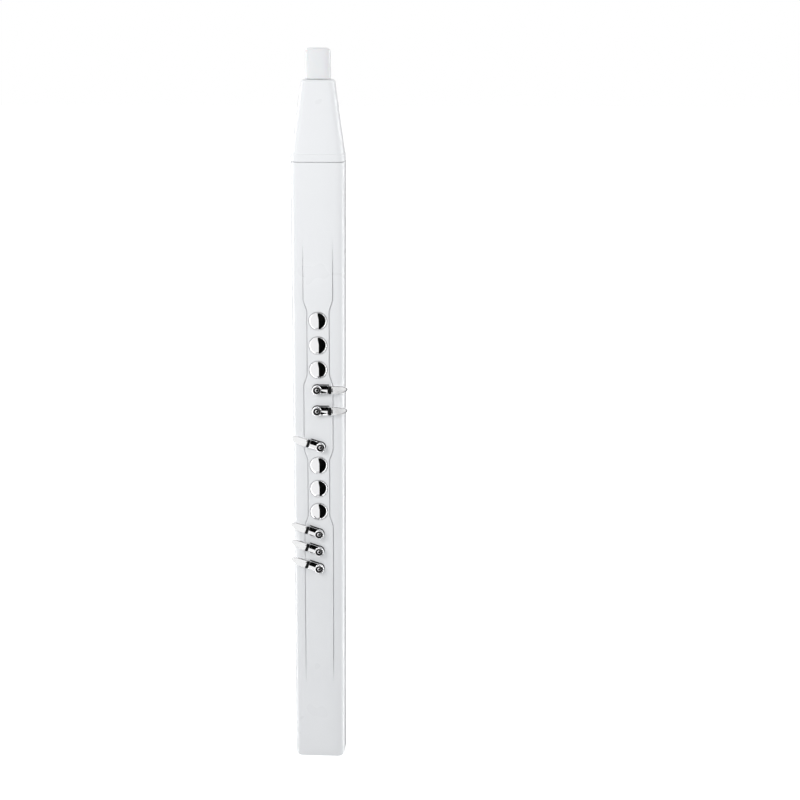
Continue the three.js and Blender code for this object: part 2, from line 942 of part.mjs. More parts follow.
function pocketPlaces() {
  return pocketHeights.flatMap((height) => [-1, 1].map((side) => (
    [side * pocketSpread / 2, height]
  )));
}

function boardPosts() {
  const heights = [
    ventFaceTop + boardPostInset,
    bankFoot - middlePostDrop,
    panelFaceFoot - boardPostInset,
  ];
  return heights.flatMap((height) => [-1, 1].map((side) => {
    const across = side * boardPostSpread / 2;
    return bar('y', postRadius, boardDepth + fit, ceilingDepth + wall / 2, [across, height]);
  }));
}

function cellRibs() {
  const foot = coverFoot + cellRise;
  const top = foot + cellLength + cellCapHeight;
  const inner = boreSection.half + wall / 2;
  return [foot - fit - cellRib, top + fit].map((height) => (
    block([-inner, rearParting, height], [inner, ceilingDepth, height + cellRib])
  ));
}

function socketOpenings() {
  const usbHole = sweep('x', stadium(
    usbHeight + fit * 2,
    usbWidth + fit * 2,
    socketDepth,
    usbHeightUp,
  ), -halfTube - overrun, -halfTube + socketBore);
  const phoneHole = bar(
    'x',
    phoneRadius + fit,
    halfTube - socketBore,
    halfTube + overrun,
    [socketDepth, phoneHeightUp],
    middleTurn,
  );
  return [usbHole, phoneHole];
}

function eyeletWell(grow) {
  const width = eyeletWellWidth + grow * 2;
  const length = eyeletLength + grow * 2;
  const depth = floorDepth - eyeletWellDepth - grow;
  const top = grow > 0 ? floorDepth - floorDrop : rimDepth + overrun;
  return sweep('y', stadium(width, length, 0, eyeletCentre), depth, top);
}

function rearShell() {
  const floors = [
    sunkFloor(bankTop - overrun, panelFoot + overrun),
    sunkFloor(ventTop - overrun, bankFoot + overrun),
    sunkFloor(footBevelHeight, ventFoot + overrun),
  ];
  const blocks = [panelBlock, bankBlock, ventBlock];
  const outside = join([cut(tube, floors), ...blocks.map(raisedBlock)]).subtract(footBevel());
  const hollows = [tubeBore, ...blocks.map(blockHollow)];
  const shell = cut(outside, hollows).intersect(rearHalf);
  const bosses = pocketPlaces().map(([across, height]) => {
    const inner = across - Math.sign(across) * pocketBossRadius;
    const outer = Math.sign(across) * wide;
    return block(
      [Math.min(inner, outer), rearParting, height - pocketBossRadius],
      [Math.max(inner, outer), rimDepth, height + pocketBossRadius],
    ).intersect(tube);
  });
  const hookBosses = hookScrewHeights.map((height) => {
    const deep = floorDepth - hookPlateThickness - hookScrewBossDepth;
    return bar('y', hookScrewBossRadius, deep, ceilingDepth + wall / 2, [0, height]);
  });
  const ribs = cellRibs().map((rib) => rib.intersect(tube));
  const inside = [...bosses, ...hookBosses, ...boardPosts(), ...ribs, ...wheelEars()];
  const whole = join([shell, ...inside, eyeletWell(eyeletWellWall)]);
  const pockets = pocketPlaces().map((place) => (
    bar('y', pocketRadius, pocketFloor, blockDepth + overrun, place)
  ));
  const hookHoles = hookScrewHeights.map((height) => (
    bar('y', hookScrewRadius + screwClearance, 0, blockDepth, [0, height])
  ));
  const axleHole = bar(
    'x',
    wheelAxleRadius + wheelAxleClearance,
    -earInner - wheelEarThickness - overrun,
    earInner + wheelEarThickness + overrun,
    [wheelAxisDepth, wheelCentre],
  );
  const openings = [
    displayOpening(),
    ...buttonOpenings(),
    cradleOpening(),
    ...stripGrooves(),
    ...ventHoles(),
    ...hatchOpenings(),
    wheelOpening(),
    ...socketOpenings(),
    eyeletWell(0),
    ...pockets,
    ...hookHoles,
    axleHole,
  ];
  return piece('rear_shell', cut(whole, openings), blackSatin);
}

// Head

const headTopSection = {
  half: headTopWidth / 2,
  front: headTopFront,
  shoulder: headTopShoulder,
  rear: headTopRear,
  rimHalf: headTopRimWidth / 2,
  radius: headTopCornerRadius,
};

function blendSection(from, to, share) {
  const mixed = Object.keys(from).map((key) => (
    [key, THREE.MathUtils.lerp(from[key], to[key], share)]
  ));
  return Object.fromEntries(mixed);
}

function ringAt(section, height) {
  return tubeRing(section).map(([u, v]) => new THREE.Vector3(u, v, height));
}

function shrink(section, inset) {
  return {
    half: section.half - inset,
    front: section.front - inset,
    shoulder: section.shoulder,
    rear: section.rear - inset,
    rimHalf: Math.max(section.rimHalf - inset / 2, section.rimHalf / 2),
    radius: section.radius,
  };
}

function headBody() {
  const cone = (share) => blendSection(shrink(tubeSection, collarCrease), headTopSection, share);
  const edge = headTop - headEdgeInset;
  const edgeShares = [0.35, 1];
  return loft([
    ringAt(tubeSection, headFoot),
    ringAt(tubeSection, collarTop - collarCrease),
    ringAt(cone(0), collarTop),
    ringAt(headTopSection, edge - headEdgeInset / 2),
    ...edgeShares.map((share) => (
      ringAt(shrink(headTopSection, headEdgeInset * share * share), edge + headEdgeInset * share)
    )),
  ]);
}

function headBore() {
  const foot = insetRing(tubeSection, wall, rimDepth - wall);
  const top = shrink(headTopSection, wall);
  return loft([
    ringAt(foot, headFoot - overrun),
    ringAt(foot, collarTop - collarCrease),
    ringAt(top, headTop - headRoof),
  ]);
}

function headHalves() {
  const pipeHole = bar(
    'z',
    pipeRadius + fit,
    headTop - headRoof - overrun,
    headTop + overrun,
    [0, mouthAxisDepth],
    fineTurn,
  );
  const shell = cut(headBody(), [headBore(), pipeHole]);
  return [
    piece('head_front', shell.intersect(frontHalf), whiteGloss),
    piece('head_rear', shell.intersect(rearHalf), blackGloss),
  ];
}

// Mouthpiece, air pipe and sensor

function ovalRing(halfWidth, halfDepth, height) {
  const squareness = mouthSquareShare;
  return Array.from({ length: fineTurn }, (_, k) => {
    const angle = (k / fineTurn) * Math.PI * 2;
    const bulge = (value) => Math.sign(value) * Math.abs(value) ** squareness;
    return new THREE.Vector3(
      halfWidth * bulge(Math.cos(angle)),
      mouthAxisDepth + halfDepth * bulge(Math.sin(angle)),
      height,
    );
  });
}

function mouthpiece() {
  const straightTop = overallHeight - mouthCornerRise;
  const body = mouthRingShares.map((share) => ovalRing(
    THREE.MathUtils.lerp(mouthWidth, mouthTipWidth, share) / 2,
    THREE.MathUtils.lerp(mouthDepth, mouthTipDepth, share) / 2,
    THREE.MathUtils.lerp(mouthFoot, straightTop, share),
  ));
  const turn = THREE.MathUtils.degToRad(mouthCornerTurn);
  const crown = Array.from({ length: mouthCornerSteps }, (_, k) => {
    const angle = turn * (k + 1) / mouthCornerSteps;
    const inset = mouthCornerInset * (1 - Math.cos(angle));
    const depthInset = inset / 2;
    const height = straightTop + mouthCornerRise * Math.sin(angle) / Math.sin(turn);
    return ovalRing(mouthTipWidth / 2 - inset, mouthTipDepth / 2 - depthInset, height);
  });
  const socket = bar(
    'z',
    pipeRadius + fit,
    mouthFoot - overrun,
    mouthSocketTop,
    [0, mouthAxisDepth],
    fineTurn,
  );
  const slot = sweep(
    'z',
    stadium(airSlotDepth, airSlotWidth, 0, 0),
    mouthSocketTop - overrun,
    overallHeight + overrun,
  ).rotate([0, 0, 90]).translate([0, mouthAxisDepth, 0]);
  return piece('mouthpiece', cut(loft([...body, ...crown]), [socket, slot]), whiteGloss);
}

const sensorTop = tubeHeight - sensorTopDrop;

function breathPipe() {
  const foot = sensorTop + fit;
  const top = mouthSocketTop - fit;
  const ring = revolve([
    [pipeBore, foot],
    [pipeRadius, foot],
    [pipeRadius, top],
    [pipeBore, top],
    [pipeBore, foot],
  ], middleTurn);
  const pipe = piece('breath_pipe', ring.rotate([90, 0, 0]), clearPipe);
  pipe.position.y = mouthAxisDepth;
  return pipe;
}

function breathSensor() {
  const back = boardBack - fit;
  const body = block(
    [-sensorWidth / 2, back - sensorDepth, sensorTop - sensorHeight],
    [sensorWidth / 2, back, sensorTop],
  );
  const nipple = bar(
    'z',
    sensorNippleRadius,
    sensorTop - overrun,
    sensorTop + sensorNippleLength,
    [0, mouthAxisDepth],
  );
  return piece('breath_sensor', body.add(nipple), greyPlastic);
}

// Finger keys

function fingerKeyBody() {
  const capRadius = fingerKeyRadius - fingerKeyRimWidth;
  const sphere = (capRadius ** 2 + domeRise ** 2) / (2 * domeRise);
  const sweepAngle = Math.asin(capRadius / sphere);
  const dome = Array.from({ length: domeSteps + 1 }, (_, k) => {
    const angle = sweepAngle * (1 - k / domeSteps);
    const height = fingerKeyShoulder + domeRise - sphere * (1 - Math.cos(angle));
    return [sphere * Math.sin(angle), height];
  });
  const flangeTop = landFace - innerFront - fit;
  const flangeFoot = flangeTop - keyFlangeThickness;
  const stemFoot = landFace - keyBoardFace + fingerKeyTravel + fit;
  const flangeRadius = fingerKeyRadius + fit + keyFlangeWidth;
  return revolve([
    [0, stemFoot],
    [keyStemRadius, stemFoot],
    [keyStemRadius, flangeFoot],
    [flangeRadius, flangeFoot],
    [flangeRadius, flangeTop],
    [fingerKeyRadius, flangeTop],
    [fingerKeyRadius, fingerKeyShoulder],
    [fingerKeyRadius - fingerKeyRimWidth / 2, fingerKeyRimHeight],
    ...dome,
  ]);
}

function fingerKeys() {
  const body = fingerKeyBody();
  return fingerKeyHeights.map((height, k) => {
    const key = piece(`finger_key_${k + 1}`, body, chrome);
    key.rotation.x = Math.PI;
    key.position.set(0, landFace, height);
    return key;
  });
}

// Side keys, each in its own frame: X along the lever, Y out of the land, Z across

function sideKeyMountBody() {
  const half = barrelWidth / 2;
  const arch = new THREE.Shape();
  arch.moveTo(-half, fit);
  arch.lineTo(half, fit);
  arch.lineTo(half, barrelShoulder);
  arch.absellipse(0, barrelShoulder, half, mountHeight - barrelShoulder, 0, Math.PI, false);
  arch.closePath();
  const barrel = sweep('z', arch, 0, barrelLength).rotate([0, 90, 0]);
  const boss = bar('y', bossRadius, fit, mountHeight, [0, 0], middleTurn);
  const forkFoot = barrelLength - forkDepth;
  const fork = block(
    [forkFoot, 0, -forkWidth / 2],
    [barrelLength + overrun, mountHeight + overrun, forkWidth / 2],
  );
  const pinPlace = [barrelLength - forkPinSetback, leverPivotHeight];
  const pin = bar('z', forkPinRadius, -forkWidth / 2 - fit, forkWidth / 2 + fit, pinPlace);
  const counterbore = bar(
    'y',
    sideKeyScrewHeadRadius + fit,
    mountHeight - sideKeyCounterbore,
    mountHeight + overrun,
    [0, 0],
    middleTurn,
  );
  const bore = bar('y', sideKeyScrewRadius + screwClearance, 0, mountHeight, [0, 0]);
  return cut(join([barrel, boss]), [fork, counterbore, bore]).add(pin);
}

function sideKeyLeverBody() {
  const reach = sideKeyLength - spoonStart;
  const rings = spoonRingShares.map((share) => {
    const taper = Math.sqrt(1 - share ** spoonRoundness * (1 - spoonTipShare ** 2));
    const thin = THREE.MathUtils.lerp(1, taper, spoonThinningShare);
    const middle = spoonHeight - spoonDroop * share * share;
    return Array.from({ length: coarseTurn }, (_, k) => {
      const angle = -(k / coarseTurn) * Math.PI * 2;
      return new THREE.Vector3(
        spoonStart + reach * share,
        middle + (spoonThickness / 2) * thin * Math.sin(angle),
        (spoonWidth / 2) * taper * Math.cos(angle),
      );
    });
  });
  const tongueHalf = forkWidth / 2 - fit;
  const tongue = block(
    [barrelLength - forkDepth + fit, leverPivotHeight - tongueThickness / 2, -tongueHalf],
    [spoonStart + spoonThickness, leverPivotHeight + tongueThickness / 2, tongueHalf],
  );
  const pinPlace = [barrelLength - forkPinSetback, leverPivotHeight];
  const pinBore = bar('z', forkPinBore, -forkWidth, forkWidth, pinPlace);
  return join([loft(rings), tongue]).subtract(pinBore);
}

function sideKeyScrewBody() {
  const headFoot = mountHeight - sideKeyCounterbore + fit;
  const headTopHeight = headFoot + sideKeyScrewHeadHeight;
  const shankFoot = landFace - innerFront + fit;
  const screw = revolve([
    [0, shankFoot],
    [sideKeyScrewRadius, shankFoot],
    [sideKeyScrewRadius, headFoot],
    [sideKeyScrewHeadRadius, headFoot],
    [sideKeyScrewHeadRadius, headTopHeight],
    [0, headTopHeight],
  ], coarseTurn);
  const hex = bar(
    'y',
    sideKeyHexRadius,
    headTopHeight - sideKeyHexDepth,
    headTopHeight + overrun,
    [0, 0],
    hexSides,
  );
  return screw.subtract(hex);
}

function sideKeys() {
  const mountBody = sideKeyMountBody();
  const leverBody = sideKeyLeverBody();
  const screwBody = sideKeyScrewBody();
  const out = new THREE.Vector3(0, -1, 0);
  return sideKeyPlaces.map(({ across, height, outward }, k) => {
    const group = new THREE.Group();
    const frame = new THREE.Matrix4();
    frame.makeBasis(outward, out, new THREE.Vector3().crossVectors(outward, out));
    group.quaternion.setFromRotationMatrix(frame);
    group.position.set(across, landFace, height);
    group.add(piece(`side_key_mount_${k + 1}`, mountBody, chrome));
    group.add(piece(`side_key_${k + 1}`, leverBody, satinSteel));
    group.add(piece(`side_key_screw_${k + 1}`, screwBody, chrome));
    return group;
  });
}

// Display and function buttons

function displayPieces() {
  const half = windowWidth / 2;
  const tall = windowHeight / 2;
  const window = block(
    [-half, blockDepth - windowThickness, windowCentre - tall],
    [half, blockDepth, windowCentre + tall],
  );
  const module = block(
    [-moduleWidth / 2, blockCeiling - fit - moduleThickness, windowCentre - moduleHeight / 2],
    [moduleWidth / 2, blockCeiling - fit, windowCentre + moduleHeight / 2],
  );
  return [
    piece('display_window', window, darkGlass),
    piece('display_module', module, boardGreen),
  ];
}

// A cap with scallops round its edge, on a flange and a plunger that reaches to the board.
function functionButtonBody() {
  const steps = buttonLobes * 2;
  const outline = Array.from({ length: steps }, (_, k) => {
    const angle = (k / steps) * Math.PI * 2;
    const radius = buttonRadius - (k % 2 === 0 ? buttonLobeDepth : 0);
    return new THREE.Vector2(radius * Math.cos(angle), radius * Math.sin(angle));
  });
  const flangeTop = blockCeiling - fit;
  const flangeFoot = flangeTop - buttonFlangeThickness;
  const stemFoot = boardDepth + buttonTravel + fit;
  const cap = sweep('y', outline, flangeFoot, blockDepth + buttonProud);
  const flangeRadius = buttonRadius + fit + buttonFlangeWidth;
  const flange = bar('y', flangeRadius, flangeFoot, flangeTop, [0, 0], middleTurn);
  const stem = bar('y', buttonStemRadius, stemFoot, flangeTop, [0, 0]);
  return join([cap, flange, stem]);
}

function functionButtons() {
  const body = functionButtonBody();
  return buttonPlaces.map(([across, height], k) => {
    const button = piece(`function_button_${k + 1}`, body, greyPlastic);
    button.position.set(across, 0, height);
    return button;
  });
}

// Octave rollers, their cradle and the touch strips

function rollerBody() {
  const half = rollerLength / 2;
  const end = half + trunnionLength;
  return revolve([
    [0, -end],
    [trunnionRadius, -end],
    [trunnionRadius, -half],
    [rollerRadius, -half],
    [rollerRadius, half],
    [trunnionRadius, half],
    [trunnionRadius, end],
    [0, end],
  ]);
}

function octaveRollers() {
  const body = rollerBody();
  return rollerHeights.map((height, k) => {
    const roller = piece(`octave_roller_${k + 1}`, body, chrome);
    roller.rotation.z = Math.PI / 2;
    roller.position.set(0, rollerAxisDepth, height);
    return roller;
  });
}

function rollerCradle() {
  const half = cradleWidth / 2;
  const trough = rollerLength / 2 + cradleSideGap;
  const back = blockDepth - cradleDepth;
  const body = block([-half, back, cradleFoot], [half, blockDepth, cradleTop]);
  const endWall = cradleEnd - rollerRadius - cradleSideGap;
  const hollow = block(
    [-trough, back - overrun, cradleFoot + endWall],
    [trough, blockDepth - cradleFace, cradleTop - endWall],
  );
  const sight = rollerLength / 2 + fit;
  const tall = rollerRadius + cradleWindowMargin;
  const windows = rollerHeights.map((height) => block(
    [-sight, back, height - tall],
    [sight, blockDepth + overrun, height + tall],
  ));
  const bearing = trunnionRadius + trunnionClearance;
  const reach = rollerLength / 2 + trunnionLength + fit;
  const bearings = rollerHeights.map((height) => (
    bar('x', bearing, -reach, reach, [rollerAxisDepth, height])
  ));
  return piece('roller_cradle', cut(body, [hollow, ...windows, ...bearings]), blackSatin);
}

function thumbPlates() {
  const half = stripWidth / 2;
  const top = blockDepth + stripProud;
  const foot = top - stripThickness;
  const profile = points([
    [-half, foot],
    [half, foot],
    [half, top - stripCrown],
    [half - stripCrown, top],
    [-half + stripCrown, top],
    [-half, top - stripCrown],
  ]);
  const low = stripCentre - stripLength / 2;
  const strip = sweep('z', profile, low, low + stripLength);
  return ['right', 'left'].map((side, k) => {
    const plate = piece(`thumb_plate_${side}`, strip, satinSteel);
    plate.position.x = (k === 0 ? 1 : -1) * stripSpread / 2;
    return plate;
  });
}

// Thumb hook

const plateBack = floorDepth + fit;
const plateFace = plateBack + hookPlateThickness;
const hookTipHeight = plateFoot - hookLength;

function thumbHook() {
  const tipDepth = plateFace + hookReach;
  const side = new THREE.Shape();
  side.moveTo(plateBack, eyeletTop);
  side.lineTo(plateBack, plateFoot + hookPlateThickness);
  side.quadraticCurveTo(plateBack, plateFoot - hookLength / 2, tipDepth, hookTipHeight);
  side.lineTo(tipDepth + hookTipThickness, hookTipHeight + hookTipThickness);
  side.quadraticCurveTo(
    plateFace,
    plateFoot - hookLength / 2 + hookPlateThickness * 2,
    plateFace,
    plateFoot + hookPlateThickness * 2,
  );
  side.lineTo(plateFace, eyeletTop);
  side.closePath();
  const neckHalf = neckWidth / 2;
  const plateHalf = hookPlateWidth / 2;
  const tipHalf = hookTipWidth / 2;
  const plan = points([
    [neckHalf, eyeletCentre],
    [-neckHalf, eyeletCentre],
    [-neckHalf, plateTop],
    [-plateHalf, plateFoot],
    [-tipHalf, hookTipHeight - overrun],
    [tipHalf, hookTipHeight - overrun],
    [plateHalf, plateFoot],
    [neckHalf, plateTop],
  ]);
  const eyelet = stadium(eyeletWidth, eyeletLength, 0, eyeletCentre);
  const planBody = sweep('y', plan, 0, wide).add(sweep('y', eyelet, 0, wide));
  const slot = sweep('y', stadium(eyeletSlotWidth, eyeletSlotLength, 0, eyeletCentre), 0, wide);
  const screwHoles = hookScrewHeights.map((height) => (
    bar('y', hookScrewRadius + screwClearance, 0, wide, [0, height])
  ));
  const casting = sweep('x', side, -wide, wide).intersect(planBody);
  return piece('thumb_hook', cut(casting, [slot, ...screwHoles]), blackGloss);
}

function hookScrews() {
  const headFoot = plateFace + fit;
  const headTopDepth = headFoot + hookScrewHeadHeight;
  const shankFoot = headFoot - hookScrewLength;
  const crown = hookScrewHeadRadius / 2;
  const screw = revolve([
    [0, shankFoot],
    [hookScrewRadius, shankFoot],
    [hookScrewRadius, headFoot],
    [hookScrewHeadRadius, headFoot],
    [hookScrewHeadRadius, headFoot + hookScrewHeadHeight / 2],
    [crown, headTopDepth],
    [0, headTopDepth],
  ], middleTurn);
  const long = screwCrossLength / 2;
  const thin = screwCrossWidth / 2;
  const deep = headTopDepth - screwCrossDepth;
  const cross = [[long, thin], [thin, long]].map(([across, up]) => (
    block([-across, deep, -up], [across, headTopDepth + overrun, up])
  ));
  const body = cut(screw, cross);
  return ['upper', 'lower'].map((place, k) => {
    const mesh = piece(`hook_screw_${place}`, body, chrome);
    mesh.position.z = hookScrewHeights[k];
    return mesh;
  });
}

// Bend wheel: a rim sector on a web, with an axle at each side

function bendWheel() {
  const spread = THREE.MathUtils.degToRad(wheelHalfSpread);
  const web = THREE.MathUtils.degToRad(wheelWebHalfAngle);
  const inner = wheelRadius - wheelRim;
  const arc = (radius, from, to, steps) => Array.from({ length: steps + 1 }, (_, k) => {
    const angle = THREE.MathUtils.lerp(from, to, k / steps);
    return [
      wheelAxisDepth + radius * Math.cos(angle),
      wheelCentre + radius * Math.sin(angle),
    ];
  });
  const hubAngle = Math.asin(inner * Math.sin(web) / wheelHubRadius / 2);
  const outline = points([
    ...arc(wheelRadius, -spread, spread, wheelRimSteps),
    ...arc(inner, spread, web, wheelInnerSteps),
    ...arc(wheelHubRadius, hubAngle, Math.PI * 2 - hubAngle, coarseTurn),
    ...arc(inner, -web, -spread, wheelInnerSteps),
  ]);
  const half = wheelWidth / 2;
  const sector = sweep('x', outline, -half, half);
  const reach = earInner + wheelAxleLength;
  const axle = bar('x', wheelAxleRadius, -reach, reach, [wheelAxisDepth, wheelCentre]);
  return piece('bend_wheel', sector.add(axle), chrome);
}

// Battery, cover, loudspeaker and grille

function batteryCover() {
  const half = hatchWidth / 2;
  const back = floorDepth - hatchThickness;
  const plate = block([-half, back, coverFoot], [half, floorDepth, coverTop]);
  const latch = coverFoot + latchRise;
  const notch = block(
    [-latchWidth / 2, floorDepth - latchDepth, latch - latchHeight / 2],
    [latchWidth / 2, floorDepth + overrun, latch + latchHeight / 2],
  );
  return piece('battery_cover', plate.subtract(notch), blackSatin);
}

function battery() {
  const foot = coverFoot + cellRise;
  const cell = revolve([
    [0, foot],
    [cellRadius, foot],
    [cellRadius, foot + cellLength],
    [cellCapRadius, foot + cellLength],
    [cellCapRadius, foot + cellLength + cellCapHeight],
    [0, foot + cellLength + cellCapHeight],
  ]);
  const mesh = piece('battery', cell.rotate([90, 0, 0]), cellSleeve);
  mesh.position.y = cellDepth;
  return mesh;
}

function speakerGrille() {
  const half = hatchWidth / 2;
  const back = floorDepth - hatchThickness;
  const plate = block([-half, back, grilleFoot], [half, floorDepth, grilleTop]);
  const holes = grilleRowHoles.flatMap((count, row) => {
    const height = grilleTop - grilleTopDrop - row * grilleRowPitch;
    const middle = (count - 1) / 2;
    return Array.from({ length: count }, (_, k) => k - middle)
      .filter((step) => Math.abs(step) >= grilleRowBlanks[row] / 2)
      .map((step) => bar(
        'y',
        grilleHoleRadius,
        back - overrun,
        floorDepth + overrun,
        [step * grillePitch, height],
        hexSides,
      ));
  });
  const slots = [-1, 1].map((side) => {
    const across = side * grillePitch;
    const height = grilleTop - grilleSlotDrop;
    return block(
      [across - grilleSlotWidth / 2, back - overrun, height - grilleSlotHeight / 2],
      [across + grilleSlotWidth / 2, floorDepth + overrun, height + grilleSlotHeight / 2],
    );
  });
  return piece('speaker_grille', cut(plate, [...holes, ...slots]), blackSatin);
}

function speaker() {
  const face = ceilingDepth - fit;
  const rimBack = face - speakerRim;
  const basketBack = rimBack - speakerBasketDepth;
  const magnetBack = basketBack - speakerMagnetDepth;
  const driver = revolve([
    [0, magnetBack],
    [speakerMagnetRadius, magnetBack],
    [speakerMagnetRadius, basketBack],
    [speakerBasketRadius, rimBack],
    [speakerRadius, rimBack],
    [speakerRadius, face],
    [speakerConeRadius, face],
    [speakerCapRadius, face - speakerConeDepth],
    [0, face - speakerConeDepth / 2],
  ]);
  const mesh = piece('speaker', driver, paperCone);
  mesh.position.z = grilleTop - grilleTopDrop - (grilleRowHoles.length - 1) * grilleRowPitch / 2;
  return mesh;
}

// Boards and sockets

function boards() {
  const half = boardWidth / 2;
  const plate = block([-half, boardBack, boardFoot], [half, boardDepth, boardTop]);
  const notches = pocketPlaces().map(([across, height]) => {
    const inner = across - Math.sign(across) * (pocketBossRadius + fit);
    const outer = Math.sign(across) * wide;
    return block(
      [Math.min(inner, outer), boardBack - overrun, height - pocketBossRadius - fit],
      [Math.max(inner, outer), boardDepth + overrun, height + pocketBossRadius + fit],
    );
  });
  const windowHalf = boardWindowWidth / 2;
  const window = block(
    [-windowHalf, boardBack - overrun, wheelCentre - boardWindowLength / 2],
    [windowHalf, boardDepth + overrun, wheelCentre + boardWindowLength / 2],
  );
  const keyHalf = keyBoardWidth / 2;
  const keyPlate = block(
    [-keyHalf, keyBoardFace, keyBoardFoot],
    [keyHalf, keyBoardFace + boardThickness, keyBoardTop],
  );
  return [
    piece('main_board', cut(plate, [window, ...notches]), boardGreen),
    piece('key_board', keyPlate, boardGreen),
  ];
}

// The sockets reach to just inside the side bevel, at the depth of their axis.
const bevelRun = (halfTube - rimWidth / 2) * (socketDepth - shoulderDepth);
const socketFace = halfTube - bevelRun / (rimDepth - shoulderDepth) - socketSetback;

function usbSocket() {
  const mouth = -socketFace;
  const outline = stadium(usbHeight, usbWidth, socketDepth, usbHeightUp);
  const can = sweep('x', outline, mouth, mouth + usbLength);
  const hollow = sweep('x', stadium(
    usbHeight - usbWall * 2,
    usbWidth - usbWall * 2,
    socketDepth,
    usbHeightUp,
  ), mouth - overrun, mouth + usbTongueLength);
  const tongue = block(
    [mouth + usbWall * 2, socketDepth - usbTongueThickness / 2, usbHeightUp - usbTongueWidth / 2],
    [mouth + usbTongueLength + usbWall, socketDepth + usbTongueThickness / 2,
      usbHeightUp + usbTongueWidth / 2],
  );
  return piece('usb_socket', can.subtract(hollow).add(tongue), satinSteel);
}

function phoneSocket() {
  const place = [socketDepth, phoneHeightUp];
  const barrel = bar('x', phoneRadius, socketFace - phoneLength, socketFace, place, middleTurn);
  const bore = bar(
    'x',
    phoneBore,
    socketFace - phoneLength + usbWall * 2,
    socketFace + overrun,
    place,
    middleTurn,
  );
  return piece('phone_socket', barrel.subtract(bore), blackSatin);
}

// The whole controller

const controller = new THREE.Group();
controller.name = 'digital_wind_controller';
controller.add(
  frontShell(),
  rearShell(),
  ...headHalves(),
  mouthpiece(),
  ...fingerKeys(),
  ...sideKeys(),
  ...displayPieces(),
  ...functionButtons(),
  rollerCradle(),
  ...octaveRollers(),
  ...thumbPlates(),
  thumbHook(),
  ...hookScrews(),
  bendWheel(),
  batteryCover(),
  battery(),
  speakerGrille(),
  speaker(),
  ...boards(),
  breathSensor(),
  breathPipe(),
  usbSocket(),
  phoneSocket(),
);

export default controller;
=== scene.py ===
# %% [markdown]
# # A digital wind controller, dressed around its CAD model
#
# The instrument is a split tube about 620 mm long. Its front is white and carries chrome
# touch keys. Its back is black and carries a display, buttons, thumb rollers, a thumb hook,
# a bend wheel, a battery hatch and a loudspeaker grille.
#
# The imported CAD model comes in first, as a fixed frame. Every new surface below is worked
# out with numpy in millimetres, in the same frame, and then written into a mesh in metres.

# %% Load the frame
import math

import bmesh
import bpy
import numpy as np
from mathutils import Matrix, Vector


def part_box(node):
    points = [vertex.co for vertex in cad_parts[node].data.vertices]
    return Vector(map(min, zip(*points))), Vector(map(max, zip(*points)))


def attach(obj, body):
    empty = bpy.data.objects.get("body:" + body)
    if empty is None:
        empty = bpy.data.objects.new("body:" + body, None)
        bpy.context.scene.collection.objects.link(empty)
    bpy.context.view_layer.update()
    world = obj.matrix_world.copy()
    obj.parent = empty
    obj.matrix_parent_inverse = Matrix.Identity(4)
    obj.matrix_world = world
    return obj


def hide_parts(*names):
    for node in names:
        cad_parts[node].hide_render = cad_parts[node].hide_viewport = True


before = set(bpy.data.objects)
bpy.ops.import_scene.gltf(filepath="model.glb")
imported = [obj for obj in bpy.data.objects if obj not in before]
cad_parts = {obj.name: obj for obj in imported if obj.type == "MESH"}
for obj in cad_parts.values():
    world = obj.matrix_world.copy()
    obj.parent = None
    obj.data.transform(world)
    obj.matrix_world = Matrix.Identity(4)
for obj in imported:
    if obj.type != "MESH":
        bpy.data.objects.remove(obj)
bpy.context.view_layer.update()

# %% [markdown]
# ## The camera
#
# The instrument stands upright and is seen from a little above, with a long lens. The lens
# and the distance were worked out from how the tube's length and its taper read in the
# photograph. The object stands left of the middle of the picture, so the sensor is shifted
# rather than the camera turned, which keeps the tube's edges upright.

# %% Camera
MM = 0.001
SENSOR = 36.0
LENS = 63.63
DOWN_ANGLE = math.radians(15.0)
YAW = math.radians(2.8)
CAMERA_DISTANCE = 1209.2
AIM_HEIGHT = 327.45
SIDE_STEP = 24.0
SHIFT_ACROSS = 0.065


def place_camera():
    """The camera looks along a line turned by YAW and dipped by DOWN_ANGLE, from CAMERA_DISTANCE
    before a point on the tube's axis, and then steps sideways by SIDE_STEP."""
    forward = np.array([
        -math.sin(YAW) * math.cos(DOWN_ANGLE),
        math.cos(YAW) * math.cos(DOWN_ANGLE),
        -math.sin(DOWN_ANGLE),
    ])
    right = np.array([math.cos(YAW), math.sin(YAW), 0.0])
    place = np.array([0.0, 0.0, AIM_HEIGHT]) - CAMERA_DISTANCE * forward + SIDE_STEP * right
    data = bpy.data.cameras.new("studio_camera")
    data.sensor_width = SENSOR
    data.lens = LENS
    data.shift_x = SHIFT_ACROSS
    data.clip_end = 100.0
    camera = bpy.data.objects.new("studio_camera", data)
    camera.location = place * MM
    camera.rotation_euler = (math.pi / 2 - DOWN_ANGLE, 0.0, YAW)
    bpy.context.scene.collection.objects.link(camera)
    bpy.context.scene.camera = camera
    return camera


camera = place_camera()
print("camera at", [round(value, 3) for value in camera.location])

# %% [markdown]
# ## The studio
#
# A white instrument on a white ground only reads if its edges meet something darker, and
# chrome only reads by what it mirrors. Real walls and panels could stand round it, but they
# would change the light on it as well. So the world has two skies. Matt surfaces get an even,
# soft one. The camera, glass and mirrors get a white backdrop, and mirrors see it graded:
# white in front, a narrow bright panel at each side that draws thin lines along rounded
# edges, levels behind that change with the height and shade the plated wheel, and a dark
# flag in front, on the right, that makes the black band along each barrel.

